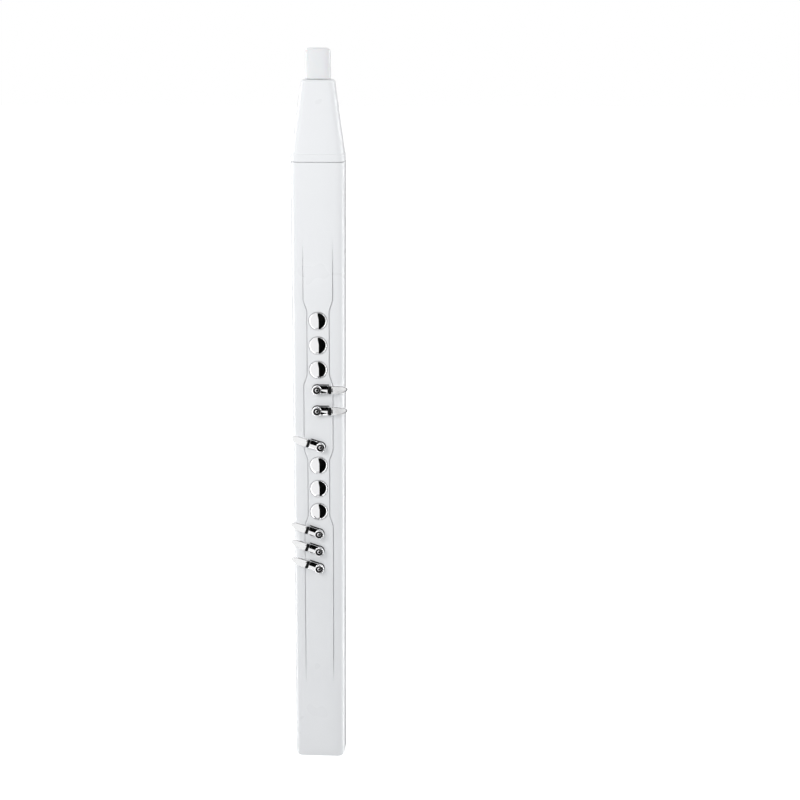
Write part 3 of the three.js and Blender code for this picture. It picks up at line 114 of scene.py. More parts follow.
# %% World
SKY_LEVEL = 0.63
SIDE_LEVEL = 8.0
FRONT_STOPS = (
    (-180.0, 0.0), (-150.0, 0.015), (-114.0, 0.13), (-111.0, 1.0), (-97.0, 1.0), (-93.0, 0.2),
    (-80.0, 0.135), (-68.0, 0.12), (68.0, 0.12), (80.0, 0.135), (93.0, 0.2), (97.0, 1.0),
    (111.0, 1.0), (114.0, 0.13), (150.0, 0.015), (180.0, 0.0),
)
BACK_STOPS = (
    (-90.0, 0.62), (-60.0, 0.85), (-42.0, 0.95), (-39.5, 0.0), (-28.5, 0.0), (-26.5, 0.15),
    (-15.0, 0.2), (0.0, 0.4), (15.0, 0.8), (27.0, 1.0), (90.0, 1.0),
)
BACK_SHARE_STOPS = (
    (-180.0, 1.0), (-150.0, 1.0), (-118.0, 0.0), (118.0, 0.0), (150.0, 1.0), (180.0, 1.0),
)
HEIGHT_STOPS = ((-90.0, 0.35), (-76.0, 0.4), (-68.0, 1.0), (70.0, 1.0), (75.0, 0.06), (90.0, 0.06))
FLAG_EDGE_STOPS = (
    (-90.0, 0.0), (-12.0, 0.0), (0.0, 0.08), (30.0, 0.2), (41.0, 0.35), (55.0, 0.5), (62.0, 0.56),
    (80.0, 1.0), (90.0, 1.0),
)
FLAG_START = 4.2
FLAG_LEAN = 32.0
FLAG_END = 62.0
FLAG_LOW = 14.0
FLAG_TOP = 80.0
FLAG_BLUR = 2.0


def step_of(tree, operation, *values):
    """One step of arithmetic on sockets and plain numbers."""
    step = tree.nodes.new("ShaderNodeMath")
    step.operation = operation
    for socket, value in zip(step.inputs, values):
        if isinstance(value, float):
            socket.default_value = value
        else:
            tree.links.new(value, socket)
    return step.outputs[0]


def spread_of(tree, source, low, high, start=0.0, end=1.0):
    """A value that runs from start to end while the source runs from low to high."""
    spread = tree.nodes.new("ShaderNodeMapRange")
    for name, value in (("From Min", low), ("From Max", high), ("To Min", start), ("To Max", end)):
        spread.inputs[name].default_value = value
    tree.links.new(source, spread.inputs["Value"])
    return spread.outputs[0]


def ramp_of(tree, source, stops):
    """A ramp of greys over the source. Each stop is a value of it with the grey there."""
    low, high = stops[0][0], stops[-1][0]
    ramp = tree.nodes.new("ShaderNodeValToRGB")
    elements = ramp.color_ramp.elements
    while len(elements) < len(stops):
        elements.new(0.5)
    for element, (value, level) in zip(elements, stops):
        element.position = (value - low) / (high - low)
        element.color = (level, level, level, 1.0)
    tree.links.new(spread_of(tree, source, low, high), ramp.inputs[0])
    return ramp.outputs[0]


def flag_share(tree, turn, height):
    """One where the ceiling flag hangs: from its leaning edge round to FLAG_END, between the
    heights FLAG_LOW and FLAG_TOP."""
    lean = step_of(tree, "MULTIPLY", ramp_of(tree, height, FLAG_EDGE_STOPS), -FLAG_LEAN)
    edge = step_of(tree, "ADD", lean, FLAG_START)
    beyond = spread_of(tree, step_of(tree, "SUBTRACT", turn, edge), 0.0, FLAG_BLUR)
    before = spread_of(tree, turn, FLAG_END, FLAG_END + FLAG_BLUR, 1.0, 0.0)
    above = spread_of(tree, height, FLAG_LOW, FLAG_LOW + FLAG_BLUR)
    below = spread_of(tree, height, FLAG_TOP, FLAG_TOP + FLAG_BLUR, 1.0, 0.0)
    across = step_of(tree, "MULTIPLY", beyond, before)
    return step_of(tree, "MULTIPLY", across, step_of(tree, "MULTIPLY", above, below))


def studio_level(tree):
    """The brightness that a mirror sees in each direction. The turn round the upright axis is
    counted from the front, and the height from the horizon, both in degrees."""
    place = tree.nodes.new("ShaderNodeTexCoord")
    split = tree.nodes.new("ShaderNodeSeparateXYZ")
    tree.links.new(place.outputs["Generated"], split.inputs[0])
    degrees = 180.0 / math.pi
    ahead = step_of(tree, "MULTIPLY", split.outputs["Y"], -1.0)
    turn = step_of(tree, "MULTIPLY", step_of(tree, "ARCTAN2", split.outputs["X"], ahead), degrees)
    height = step_of(tree, "MULTIPLY", step_of(tree, "ARCSINE", split.outputs["Z"]), degrees)
    front = step_of(tree, "MULTIPLY", ramp_of(tree, turn, FRONT_STOPS), SIDE_LEVEL)
    unflagged = step_of(tree, "SUBTRACT", 1.0, flag_share(tree, turn, height))
    front = step_of(tree, "MULTIPLY", front, unflagged)
    share = ramp_of(tree, turn, BACK_SHARE_STOPS)
    back = step_of(tree, "MULTIPLY", ramp_of(tree, height, BACK_STOPS), share)
    both = step_of(tree, "ADD", back, step_of(tree, "MULTIPLY", front, step_of(tree, "SUBTRACT", 1.0, share)))
    return step_of(tree, "MULTIPLY", both, ramp_of(tree, height, HEIGHT_STOPS))


def build_world():
    """Two skies, picked by the kind of ray. Matt surfaces get an even one. The camera, mirrors
    and glass all see the white backdrop, whose strength is one, and for mirrors it is graded
    by the panels and flags: one plus the mirror's share times the studio's level less one."""
    world = bpy.data.worlds.new("studio_world")
    bpy.context.scene.world = world
    world.use_nodes = True
    tree = world.node_tree
    tree.nodes.clear()
    rays = tree.nodes.new("ShaderNodeLightPath")
    even = tree.nodes.new("ShaderNodeBackground")
    even.inputs["Color"].default_value = (0.97, 0.99, 1.0, 1.0)
    even.inputs["Strength"].default_value = SKY_LEVEL
    backdrop = tree.nodes.new("ShaderNodeBackground")
    backdrop.inputs["Color"].default_value = (1.0, 1.0, 1.0, 1.0)
    mirror = rays.outputs["Is Glossy Ray"]
    graded = step_of(tree, "MULTIPLY", mirror, step_of(tree, "SUBTRACT", studio_level(tree), 1.0))
    tree.links.new(step_of(tree, "ADD", graded, 1.0), backdrop.inputs["Strength"])
    seen = step_of(tree, "MAXIMUM", rays.outputs["Is Camera Ray"], mirror)
    seen = step_of(tree, "MAXIMUM", seen, rays.outputs["Is Transmission Ray"])
    mix = tree.nodes.new("ShaderNodeMixShader")
    tree.links.new(seen, mix.inputs[0])
    tree.links.new(even.outputs[0], mix.inputs[1])
    tree.links.new(backdrop.outputs[0], mix.inputs[2])
    out = tree.nodes.new("ShaderNodeOutputWorld")
    tree.links.new(mix.outputs[0], out.inputs["Surface"])


build_world()
scene = bpy.context.scene
scene.view_settings.view_transform = "Standard"
print("sky level for matt surfaces:", SKY_LEVEL)

# %% [markdown]
# Soft lamps lift the top of the instrument and round off its sides. They are kept weak: the
# sky does most of the work, so that a colour comes out about as it is written.

# %% Lamps
# For each lamp its name, place, aim and size in millimetres, and its power in watts
LAMPS = (
    ("key_lamp", (-400.0, -560.0, 700.0), (0.0, 0.0, 520.0), 300.0, 2.3),
    ("left_lamp", (-900.0, -200.0, 560.0), (0.0, 0.0, 380.0), 500.0, 0.2),
    ("right_lamp", (900.0, -250.0, 620.0), (0.0, 0.0, 400.0), 500.0, 2.0),
    ("rear_lamp_left", (-800.0, 800.0, 850.0), (0.0, 0.0, 330.0), 500.0, 3.4),
    ("rear_lamp_right", (800.0, 800.0, 850.0), (0.0, 0.0, 330.0), 500.0, 3.4),
)


def hang_lamp(name, place, aim, size, power):
    """A square soft lamp at a place, turned so that its light falls on the aim."""
    data = bpy.data.lights.new(name, "AREA")
    data.size = size * MM
    data.energy = power
    lamp = bpy.data.objects.new(name, data)
    lamp.location = np.array(place) * MM
    away = np.array(place) - np.array(aim)
    flat = math.hypot(away[0], away[1])
    lamp.rotation_euler = (math.atan2(flat, away[2]), 0.0, math.atan2(away[0], -away[1]))
    lamp.visible_glossy = False
    bpy.context.scene.collection.objects.link(lamp)
    return lamp


for lamp in LAMPS:
    hang_lamp(*lamp)
print("lamps:", len(LAMPS))

# %% [markdown]
# The floor is a plain white sheet. A little of its white is only there for the camera, so
# that it stays as white as the background far away, and the shadow at the foot still shows.

# %% Floor
FLOOR_SIZE = 20.0
FLOOR_WHITE = 0.8
FLOOR_LIFT = 0.62


def lay_floor():
    """A square of side FLOOR_SIZE at height zero: a matt white, plus a white seen by the camera."""
    mesh = bpy.data.meshes.new("studio_floor")
    half = FLOOR_SIZE / 2
    corners = np.array([[-half, -half, 0], [half, -half, 0], [half, half, 0], [-half, half, 0]])
    mesh.from_pydata(corners, [], [[0, 1, 2, 3]])
    floor = bpy.data.objects.new("studio_floor", mesh)
    bpy.context.scene.collection.objects.link(floor)
    sheet = bpy.data.materials.new("floor_paper")
    sheet.use_nodes = True
    tree = sheet.node_tree
    shader = tree.nodes["Principled BSDF"]
    shader.inputs["Base Color"].default_value = (FLOOR_WHITE, FLOOR_WHITE, FLOOR_WHITE, 1.0)
    shader.inputs["Roughness"].default_value = 0.9
    shader.inputs["Specular IOR Level"].default_value = 0.0
    rays = tree.nodes.new("ShaderNodeLightPath")
    lift = tree.nodes.new("ShaderNodeMath")
    lift.operation = "MULTIPLY"
    lift.inputs[1].default_value = FLOOR_LIFT
    tree.links.new(rays.outputs["Is Camera Ray"], lift.inputs[0])
    shader.inputs["Emission Color"].default_value = (1.0, 1.0, 1.0, 1.0)
    tree.links.new(lift.outputs[0], shader.inputs["Emission Strength"])
    mesh.materials.append(sheet)
    floor.visible_glossy = False
    return floor


lay_floor()
print("floor laid")

# %% [markdown]
# A photographer draws the sharp black half on a chrome dome with a black card that stands
# close by. This one is a strip of a cylinder to the right of the keys. It is so near that the
# rear bevels, a few centimetres further back, look past it. Only mirrors see it, so it takes
# no light away.

# %% Black card
CARD_REACH = 70.0
CARD_TURN = (4.2, 71.0)
CARD_HEIGHT = (-260.0, 900.0)
CARD_AXIS_DEPTH = -19.0
CARD_COLUMNS = 28


def hang_card():
    """A sheet bent round an upright axis in the land's face: points at CARD_REACH from the
    axis, turned from the front through the angles CARD_TURN."""
    turn = np.radians(np.linspace(*CARD_TURN, CARD_COLUMNS))
    flat = np.stack([
        CARD_REACH * np.sin(turn),
        CARD_AXIS_DEPTH - CARD_REACH * np.cos(turn),
    ], -1)
    rows = [np.column_stack([flat, np.full(len(flat), height)]) for height in CARD_HEIGHT]
    points = np.concatenate(rows) * MM
    step = np.arange(len(flat) - 1)
    faces = np.stack([step, step + 1, step + 1 + len(flat), step + len(flat)], -1)
    mesh = bpy.data.meshes.new("studio_card")
    mesh.from_pydata(points, [], faces.tolist())
    card = bpy.data.objects.new("studio_card", mesh)
    bpy.context.scene.collection.objects.link(card)
    felt = bpy.data.materials.new("card_felt")
    felt.use_nodes = True
    shader = felt.node_tree.nodes["Principled BSDF"]
    shader.inputs["Base Color"].default_value = (0.003, 0.003, 0.003, 1.0)
    shader.inputs["Roughness"].default_value = 1.0
    shader.inputs["Specular IOR Level"].default_value = 0.0
    mesh.materials.append(felt)
    for ray in ("camera", "diffuse", "transmission", "volume_scatter", "shadow"):
        setattr(card, "visible_" + ray, False)
    return card


hang_card()
print("card from", CARD_TURN[0], "to", CARD_TURN[1], "degrees")

# %% [markdown]
# ## Helpers for surfaces
#
# A surface here is a grid of points. The rows run along it, the columns run round it, and
# the quads between neighbours follow from the grid's shape alone. A closed body is turned
# the right way out by the sign of its volume, so no surface can end up inside out.

# %% Grid helpers
SHARP_ANGLE = 32.0
DOUBLE_GAP = 2e-7


def grid_faces(rows, columns, wrap_rows=False, wrap_columns=False, start=0):
    """Quads between neighbouring points of a grid, numbered row by row from start. A wrapped
    direction joins its last points to its first ones."""
    row, column = np.meshgrid(
        np.arange(rows if wrap_rows else rows - 1),
        np.arange(columns if wrap_columns else columns - 1),
        indexing="ij",
    )
    next_row = (row + 1) % rows
    next_column = (column + 1) % columns
    quads = np.stack([
        row * columns + column,
        row * columns + next_column,
        next_row * columns + next_column,
        next_row * columns + column,
    ], -1)
    return start + quads.reshape(-1, 4)


def signed_volume(bm):
    """Six times the volume is the sum, over the triangles, of a corner dotted with the cross
    product of the other two."""
    triangles = bm.calc_loop_triangles()
    corners = np.array([[loop.vert.co for loop in triangle] for triangle in triangles])
    crossed = np.cross(corners[:, 1], corners[:, 2])
    return float(np.einsum("ij,ij->", corners[:, 0], crossed)) / 6


def smooth_by_angle(mesh, degrees=SHARP_ANGLE):
    """Faces shade as one surface, except where they meet at more than the angle."""
    mesh.shade_smooth()
    mesh.set_sharp_from_angle(angle=math.radians(degrees))


def make_mesh(name, points, faces, sharp=SHARP_ANGLE):
    """A mesh in metres from points in millimetres. Doubles are merged, which also turns the
    quads at a pole into triangles, and the faces are turned to point outwards."""
    mesh = bpy.data.meshes.new(name)
    listed = [list(map(int, face)) for face in faces]
    mesh.from_pydata(np.asarray(points, float).reshape(-1, 3) * MM, [], listed)
    bm = bmesh.new()
    bm.from_mesh(mesh)
    bmesh.ops.remove_doubles(bm, verts=bm.verts, dist=DOUBLE_GAP)
    if signed_volume(bm) < 0:
        bmesh.ops.reverse_faces(bm, faces=bm.faces)
    bm.to_mesh(mesh)
    bm.free()
    smooth_by_angle(mesh, sharp)
    return mesh


def show(name, mesh, finish, body, nodes=()):
    """An object at the origin for a finished mesh: its material, the body that it rides on,
    and the CAD nodes that it stands for, which are hidden."""
    piece = bpy.data.objects.new(name, mesh)
    bpy.context.scene.collection.objects.link(piece)
    mesh.materials.clear()
    mesh.materials.append(finish)
    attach(piece, body)
    if nodes:
        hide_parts(*nodes)
    return piece

# %% [markdown]
# A few helpers turn short lists into smooth forms. Corner points are easy to choose and to
# read, so an outline is written as corners and its corners are rounded by a formula. A
# turned body is a profile carried round an axis, and a plate is a stack of its outlines.

# %% Outlines, turned bodies and plates
CORNER_SHARE = 0.46


def soften(corners, reach, steps=4, closed=False):
    """A polyline with each corner replaced by a short parabola: the curve that starts reach
    before the corner, is pulled towards it, and ends reach after it. It never takes more than
    CORNER_SHARE of a side."""
    corners = np.asarray(corners, float)
    back = np.roll(corners, 1, 0) - corners
    on = np.roll(corners, -1, 0) - corners
    back_length = np.maximum(np.linalg.norm(back, axis=1, keepdims=True), 1e-9)
    on_length = np.maximum(np.linalg.norm(on, axis=1, keepdims=True), 1e-9)
    wanted = np.broadcast_to(np.asarray(reach, float), (len(corners),))[:, None]
    run = np.minimum(wanted, CORNER_SHARE * np.minimum(back_length, on_length))
    share = np.linspace(0, 1, steps)[None, :, None]
    start = (corners + back / back_length * run)[:, None]
    end = (corners + on / on_length * run)[:, None]
    middle = corners[:, None]
    curve = (1 - share) ** 2 * start + 2 * share * (1 - share) * middle + share**2 * end
    if closed:
        return curve.reshape(-1, corners.shape[1])
    inside = curve[1:-1].reshape(-1, corners.shape[1])
    return np.vstack([corners[:1], inside, corners[-1:]])


def revolved(profile, turns=48):
    """A closed profile of radius and height turned round the local Z axis: the radius times
    the cosine and sine of the angle, at each height. Returns points and faces."""
    profile = np.asarray(profile, float)
    angle = np.linspace(0, 2 * np.pi, turns, endpoint=False)
    points = np.stack([
        profile[:, :1] * np.cos(angle),
        profile[:, :1] * np.sin(angle),
        np.repeat(profile[:, 1:], turns, 1),
    ], -1)
    return points, grid_faces(len(profile), turns, wrap_columns=True)


def to_axis(points, axis):
    """Points made round Z, turned so that their height runs along X or Y instead."""
    order = {"x": [2, 0, 1], "y": [0, 2, 1]}[axis]
    return np.asarray(points)[..., order]


def capped(points):
    """Faces of a stack of closed rings with a polygon over the first and the last ring."""
    rows, columns = points.shape[:2]
    faces = grid_faces(rows, columns, wrap_columns=True).tolist()
    faces.append(list(range(columns))[::-1])
    faces.append([(rows - 1) * columns + k for k in range(columns)])
    return faces


def plate_rings(outline, low, high, edge, steps=4):
    """Rings of a flat plate with rounded edges. The outline is centred on zero, and each ring
    is it scaled so that it draws in by the edge radius times one minus the sine."""
    outline = np.asarray(outline, float)
    half = np.abs(outline).max(0)
    angle = np.linspace(0, np.pi / 2, steps)
    inset = edge * (1 - np.sin(angle))
    rise = edge * (1 - np.cos(angle))
    scales = 1 - inset[:, None] / half[None, :]
    scales = np.vstack([scales, scales[::-1]])
    heights = np.concatenate([low + rise, high - rise[::-1]])
    rings = outline[None] * scales[:, None]
    level = np.repeat(heights[:, None, None], len(outline), 1)
    return np.concatenate([rings, level], -1)


def box_of(node):
    """The two corners of a CAD node's box, in millimetres."""
    low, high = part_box(node)
    return np.array(low) / MM, np.array(high) / MM


def centre_of(node):
    """The middle of a CAD node's box, in millimetres."""
    return sum(box_of(node)) / 2


def plate_mesh(name, node, corner, edge, inset=0.0, drop=0.0):
    """A plate in the place of a node: rings of its rounded outline, which faces the back. The
    outline can be drawn in by an inset, and the face lowered by a drop."""
    low, high = box_of(node)
    size, middle = (high - low) / 2 - inset, (high + low) / 2
    corners = np.array([[1, 1], [-1, 1], [-1, -1], [1, -1]]) * [size[0], size[2]]
    rings = plate_rings(soften(corners, corner, 6, True), low[1], high[1] - drop, edge)
    points = np.stack([rings[..., 0] + middle[0], rings[..., 2], rings[..., 1] + middle[2]], -1)
    return make_mesh(name, points, capped(points))

# %% [markdown]
# Some shapes are easier to get from other meshes: a hole or a joined part by an exact boolean,
# a moulded edge by a bevel. Both are applied at once, so that each piece is one finished mesh
# with its place in its points.

# %% Booleans, bevels and copies
LOOSE_GAP = 2e-6
FLAT_ANGLE = 0.4


def points_of(mesh):
    """A mesh's points in millimetres, one row each."""
    flat = np.zeros(len(mesh.vertices) * 3, np.float32)
    mesh.vertices.foreach_get("co", flat)
    return flat.reshape(-1, 3) / MM


def set_points(mesh, points):
    """Points in millimetres written back into a mesh."""
    mesh.vertices.foreach_set("co", (points * MM).astype(np.float32).ravel())
    mesh.update()


def moved_copy(name, mesh, shift):
    """A copy of a mesh, moved by a shift in millimetres."""
    copy = mesh.copy()
    copy.name = name
    set_points(copy, points_of(copy) + shift)
    return copy


def combine(name, first, others, how):
    """The union or difference of closed meshes, worked out exactly and written to a new mesh."""
    base = bpy.data.objects.new(name + "_base", first)
    bpy.context.scene.collection.objects.link(base)
    tools = []
    for k, other in enumerate(others):
        tool = bpy.data.objects.new(f"{name}_tool_{k}", other)
        bpy.context.scene.collection.objects.link(tool)
        step = base.modifiers.new(f"step_{k}", "BOOLEAN")
        step.operation = how
        step.solver = "EXACT"
        step.object = tool
        tools.append(tool)
    depsgraph = bpy.context.evaluated_depsgraph_get()
    result = bpy.data.meshes.new_from_object(base.evaluated_get(depsgraph))
    result.name = name
    for tool in [base, *tools]:
        bpy.data.objects.remove(tool)
    return result


def finished(mesh, width=None, segments=3, angle=28.0, sharp=SHARP_ANGLE):
    """The mesh with a rounded edge of the given width in millimetres wherever two faces meet
    at more than the angle. The width is kept from running into itself, and the shading of
    the flat faces stays flat."""
    smooth_by_angle(mesh, sharp)
    if width:
        holder = bpy.data.objects.new("bevel_holder", mesh)
        bpy.context.scene.collection.objects.link(holder)
        step = holder.modifiers.new("edges", "BEVEL")
        step.width = width * MM
        step.segments = segments
        step.limit_method = "ANGLE"
        step.angle_limit = math.radians(angle)
        step.use_clamp_overlap = True
        step.miter_outer = "MITER_ARC"
        step.harden_normals = True
        depsgraph = bpy.context.evaluated_depsgraph_get()
        mesh = bpy.data.meshes.new_from_object(holder.evaluated_get(depsgraph))
        bpy.data.objects.remove(holder)
    return mesh


def merged_copy(node, flat=True):
    """A CAD node's mesh is loose triangles, so a copy is merged. Where asked, flat neighbours
    become one face again."""
    bm = bmesh.new()
    bm.from_mesh(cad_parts[node].data)
    bmesh.ops.remove_doubles(bm, verts=bm.verts, dist=LOOSE_GAP)
    if flat:
        bmesh.ops.dissolve_limit(
            bm, angle_limit=math.radians(FLAT_ANGLE), verts=bm.verts, edges=bm.edges,
            use_dissolve_boundaries=False,
        )
    mesh = bpy.data.meshes.new(node + "_copy")
    bm.to_mesh(mesh)
    bm.free()
    return mesh


print("surface helpers ready")

# %% [markdown]
# ## Finishes
#
# Moulded plastic is never one flat colour. It has a faint mottle in its gloss, a fine grain
# or a slight waviness from the tool, and it is a touch paler where the light grazes it. Each
# finish is one shader. Its roughness gets a slow cloud and its surface a small bump, both on
# Object coordinates, which are metres here, so a scale of 1000 is a detail of about 1 mm.

# %% Finish helpers
EVEN = (1.0, 1.0, 1.0)
CLOUD_RANGE = (0.3, 0.7)


def finish(name, colour, roughness, metallic=0.0, **sockets):
    """A material with one shader. Single values go straight onto the shader's own sockets."""
    material = bpy.data.materials.new(name)
    material.use_nodes = True
    shader = material.node_tree.nodes["Principled BSDF"]
    shader.inputs["Base Color"].default_value = (*colour, 1.0)
    shader.inputs["Roughness"].default_value = roughness
    shader.inputs["Metallic"].default_value = metallic
    for socket, value in sockets.items():
        shader.inputs[socket.replace("_", " ")].default_value = value
    return material


def cloud(material, scale, detail, stretch):
    """Noise on Object coordinates. A stretch below one draws it out along that axis."""
    tree = material.node_tree
    place = tree.nodes.new("ShaderNodeTexCoord")
    mapping = tree.nodes.new("ShaderNodeMapping")
    mapping.inputs["Scale"].default_value = stretch
    noise = tree.nodes.new("ShaderNodeTexNoise")
    noise.inputs["Scale"].default_value = scale
    noise.inputs["Detail"].default_value = detail
    tree.links.new(place.outputs["Object"], mapping.inputs["Vector"])
    tree.links.new(mapping.outputs["Vector"], noise.inputs["Vector"])
    return noise


def vary_roughness(material, low, high, scale, stretch=EVEN):
    """The roughness drifts between two values with a slow cloud, most of which lies within
    CLOUD_RANGE."""
    tree = material.node_tree
    noise = cloud(material, scale, 2.0, stretch)
    level = spread_of(tree, noise.outputs["Fac"], *CLOUD_RANGE, low, high)
    tree.links.new(level, tree.nodes["Principled BSDF"].inputs["Roughness"])


def vary_colour(material, low, high, scale, stretch=EVEN, spread=0.2):
    """The colour drifts between two shades with a cloud. A small spread makes the change
    from one to the other abrupt, as in a speckle."""
    tree = material.node_tree
    noise = cloud(material, scale, 3.0, stretch)
    ramp = tree.nodes.new("ShaderNodeValToRGB")
    ramp.color_ramp.elements[0].position = 0.5 - spread
    ramp.color_ramp.elements[0].color = (*low, 1.0)
    ramp.color_ramp.elements[1].position = 0.5 + spread
    ramp.color_ramp.elements[1].color = (*high, 1.0)
    tree.links.new(noise.outputs["Fac"], ramp.inputs["Fac"])
    tree.links.new(ramp.outputs["Color"], tree.nodes["Principled BSDF"].inputs["Base Color"])


def bumps(material, *layers):
    """One bump node after another: each layer is a noise scale, a depth in millimetres, and a
    stretch of its pattern."""
    tree = material.node_tree
    shader = tree.nodes["Principled BSDF"]
    before = None
    for scale, depth, stretch in layers:
        noise = cloud(material, scale, 2.0, stretch)
        bump = tree.nodes.new("ShaderNodeBump")
        bump.inputs["Strength"].default_value = 1.0
        bump.inputs["Distance"].default_value = depth * MM
        tree.links.new(noise.outputs["Fac"], bump.inputs["Height"])
        if before is not None:
            tree.links.new(before.outputs["Normal"], bump.inputs["Normal"])
        before = bump
    tree.links.new(before.outputs["Normal"], shader.inputs["Normal"])

# %% [markdown]
# The white front is a painted or high-gloss ABS: nearly white, cool, with a clear skin. The
# black back is the same plastic with a fine spark-eroded grain, so it mirrors little face on
# and goes grey at grazing angles. The head and the hook are polished black.

# %% Plastic finishes
white_case = finish(
    "white_gloss_plastic", (0.83, 0.835, 0.85), 0.3,
    Coat_Weight=0.12, Coat_Roughness=0.1, IOR=1.46,
)
vary_colour(white_case, (0.82, 0.826, 0.842), (0.845, 0.85, 0.862), 9.0)
vary_roughness(white_case, 0.26, 0.38, 30.0)
bumps(white_case, (70.0, 0.02, EVEN), (1500.0, 0.0012, EVEN))

white_soft = finish(
    "white_soft_cap", (0.8, 0.805, 0.815), 0.34,
    Subsurface_Weight=0.08, Subsurface_Scale=0.002,
)
vary_roughness(white_soft, 0.28, 0.4, 60.0)
bumps(white_soft, (900.0, 0.003, EVEN))

black_case = finish("black_grained_plastic", (0.0045, 0.0045, 0.005), 0.42, Specular_IOR_Level=0.27)
vary_colour(black_case, (0.0036, 0.0036, 0.0041), (0.0056, 0.0056, 0.0062), 14.0)
vary_roughness(black_case, 0.36, 0.48, 40.0)
bumps(black_case, (2600.0, 0.006, EVEN), (60.0, 0.015, EVEN))

black_gloss = finish("black_polished_plastic", (0.0014, 0.0014, 0.0016), 0.07, Specular_IOR_Level=0.22)
vary_roughness(black_gloss, 0.05, 0.11, 45.0)
bumps(black_gloss, (300.0, 0.12, (1.0, 1.0, 0.5)), (1400.0, 0.0008, EVEN))

hook_gloss = finish("hook_polished_plastic", (0.0014, 0.0014, 0.0016), 0.08, Specular_IOR_Level=0.5)
vary_roughness(hook_gloss, 0.05, 0.12, 60.0)
bumps(hook_gloss, (240.0, 0.03, EVEN), (1400.0, 0.0008, EVEN))

# Also the colour of the painted shade: the dark sheet under each side key and the dark floors of the screw
# recesses.
black_inner_and_shade = finish("black_plastic_and_shade", (0.003, 0.003, 0.0035), 0.55, Specular_IOR_Level=0.25)
vary_roughness(black_inner_and_shade, 0.5, 0.62, 60.0)
bumps(black_inner_and_shade, (2200.0, 0.008, EVEN))

grey_button = finish("grey_button_plastic", (0.04, 0.04, 0.042), 0.4, Specular_IOR_Level=0.3)
vary_colour(grey_button, (0.002, 0.002, 0.0025), (0.09, 0.09, 0.093), 1000.0, EVEN, 0.04)
vary_roughness(grey_button, 0.3, 0.55, 900.0)
bumps(grey_button, (1500.0, 0.05, EVEN))

grey_plastic = finish("grey_moulded_plastic", (0.18, 0.18, 0.19), 0.5)
vary_roughness(grey_plastic, 0.42, 0.56, 90.0)
bumps(grey_plastic, (1800.0, 0.008, EVEN))
print("plastic finishes ready")

# %% [markdown]
# Chrome plating mirrors sharply and only gives itself away by a faint haze where fingers
# have been. The spoon levers and the thumb strips are satin: their metal is brushed along
# its length, which the bump follows by being drawn out in that direction.

# %% Metal finishes
chrome = finish("chrome_plate", (0.9, 0.9, 0.91), 0.045, 1.0)
vary_roughness(chrome, 0.03, 0.075, 260.0)
bumps(chrome, (180.0, 0.0012, EVEN))

black_oxide = finish("black_oxide_steel", (0.012, 0.012, 0.013), 0.5, 0.6)
vary_roughness(black_oxide, 0.42, 0.6, 600.0)
bumps(black_oxide, (900.0, 0.006, EVEN))

dark_lip = finish("dark_lip_plating", (0.1, 0.1, 0.105), 0.2, 1.0)
vary_roughness(dark_lip, 0.14, 0.3, 700.0)
bumps(dark_lip, (900.0, 0.02, EVEN))

dull_nickel = finish("dull_nickel", (0.34, 0.34, 0.35), 0.3, 1.0)
vary_roughness(dull_nickel, 0.24, 0.4, 500.0)
bumps(dull_nickel, (900.0, 0.01, EVEN))

satin_steel = finish("satin_steel", (0.92, 0.92, 0.925), 0.16, 0.8)
vary_roughness(satin_steel, 0.12, 0.2, 200.0, (0.2, 1.0, 1.0))
bumps(satin_steel, (2400.0, 0.0016, (0.06, 1.0, 1.0)))

strip_steel = finish("strip_steel", (0.9, 0.9, 0.91), 0.3, 0.35)
vary_roughness(strip_steel, 0.24, 0.38, 240.0, (1.0, 1.0, 0.1))
bumps(strip_steel, (2600.0, 0.002, (1.0, 1.0, 0.05)))
print("metal finishes ready")

# %% [markdown]
# The display is a tinted pane over a dark module. Inside are green boards with copper just
# under their lacquer, a shrink-wrapped cell, a paper cone and a clear air pipe. They show
# through the grille and the openings, and when the covers lift.

# %% Other finishes
dark_window = finish("tinted_window", (0.0035, 0.0035, 0.004), 0.08, Specular_IOR_Level=0.16)
vary_roughness(dark_window, 0.06, 0.11, 120.0)
bumps(dark_window, (90.0, 0.002, EVEN))

board = finish("board_lacquer", (0.02, 0.11, 0.05), 0.35, Coat_Weight=0.5)
vary_colour(board, (0.014, 0.08, 0.035), (0.03, 0.15, 0.07), 700.0, (1.0, 1.0, 0.25))
vary_roughness(board, 0.28, 0.5, 500.0)
bumps(board, (1400.0, 0.02, EVEN))

cell_wrap = finish("cell_wrap", (0.03, 0.11, 0.36), 0.3, Coat_Weight=0.3)
vary_colour(cell_wrap, (0.026, 0.1, 0.33), (0.036, 0.125, 0.39), 60.0)
vary_roughness(cell_wrap, 0.24, 0.4, 130.0)
bumps(cell_wrap, (300.0, 0.02, (1.0, 1.0, 0.2)))

paper_cone = finish("paper_cone", (0.02, 0.02, 0.022), 0.85)
vary_colour(paper_cone, (0.015, 0.015, 0.017), (0.03, 0.03, 0.032), 900.0)
vary_roughness(paper_cone, 0.78, 0.95, 600.0)
bumps(paper_cone, (1600.0, 0.03, EVEN))

clear_pipe = finish("clear_pipe", (0.75, 0.77, 0.75), 0.22, Transmission_Weight=0.7)
vary_roughness(clear_pipe, 0.16, 0.3, 200.0)
bumps(clear_pipe, (500.0, 0.01, EVEN))
print("materials:", len(bpy.data.materials))

# %% [markdown]
# ## The tube's section
#
# Seen from above, the front half is a flat face with round corners and straight sides. The
# surface runs round it from one parting edge to the other, so one array of shares gives the
# columns: a few down the side, a fan of them round each corner, the rest across the face.

# %% Section
PARTING = 1.85
TUBE_HALF = 22.0
FACE_DEPTH = 18.0
CORNER_RADIUS = 6.5
WALL = 1.8
SIDE_COLUMNS = 5
CORNER_COLUMNS = 11


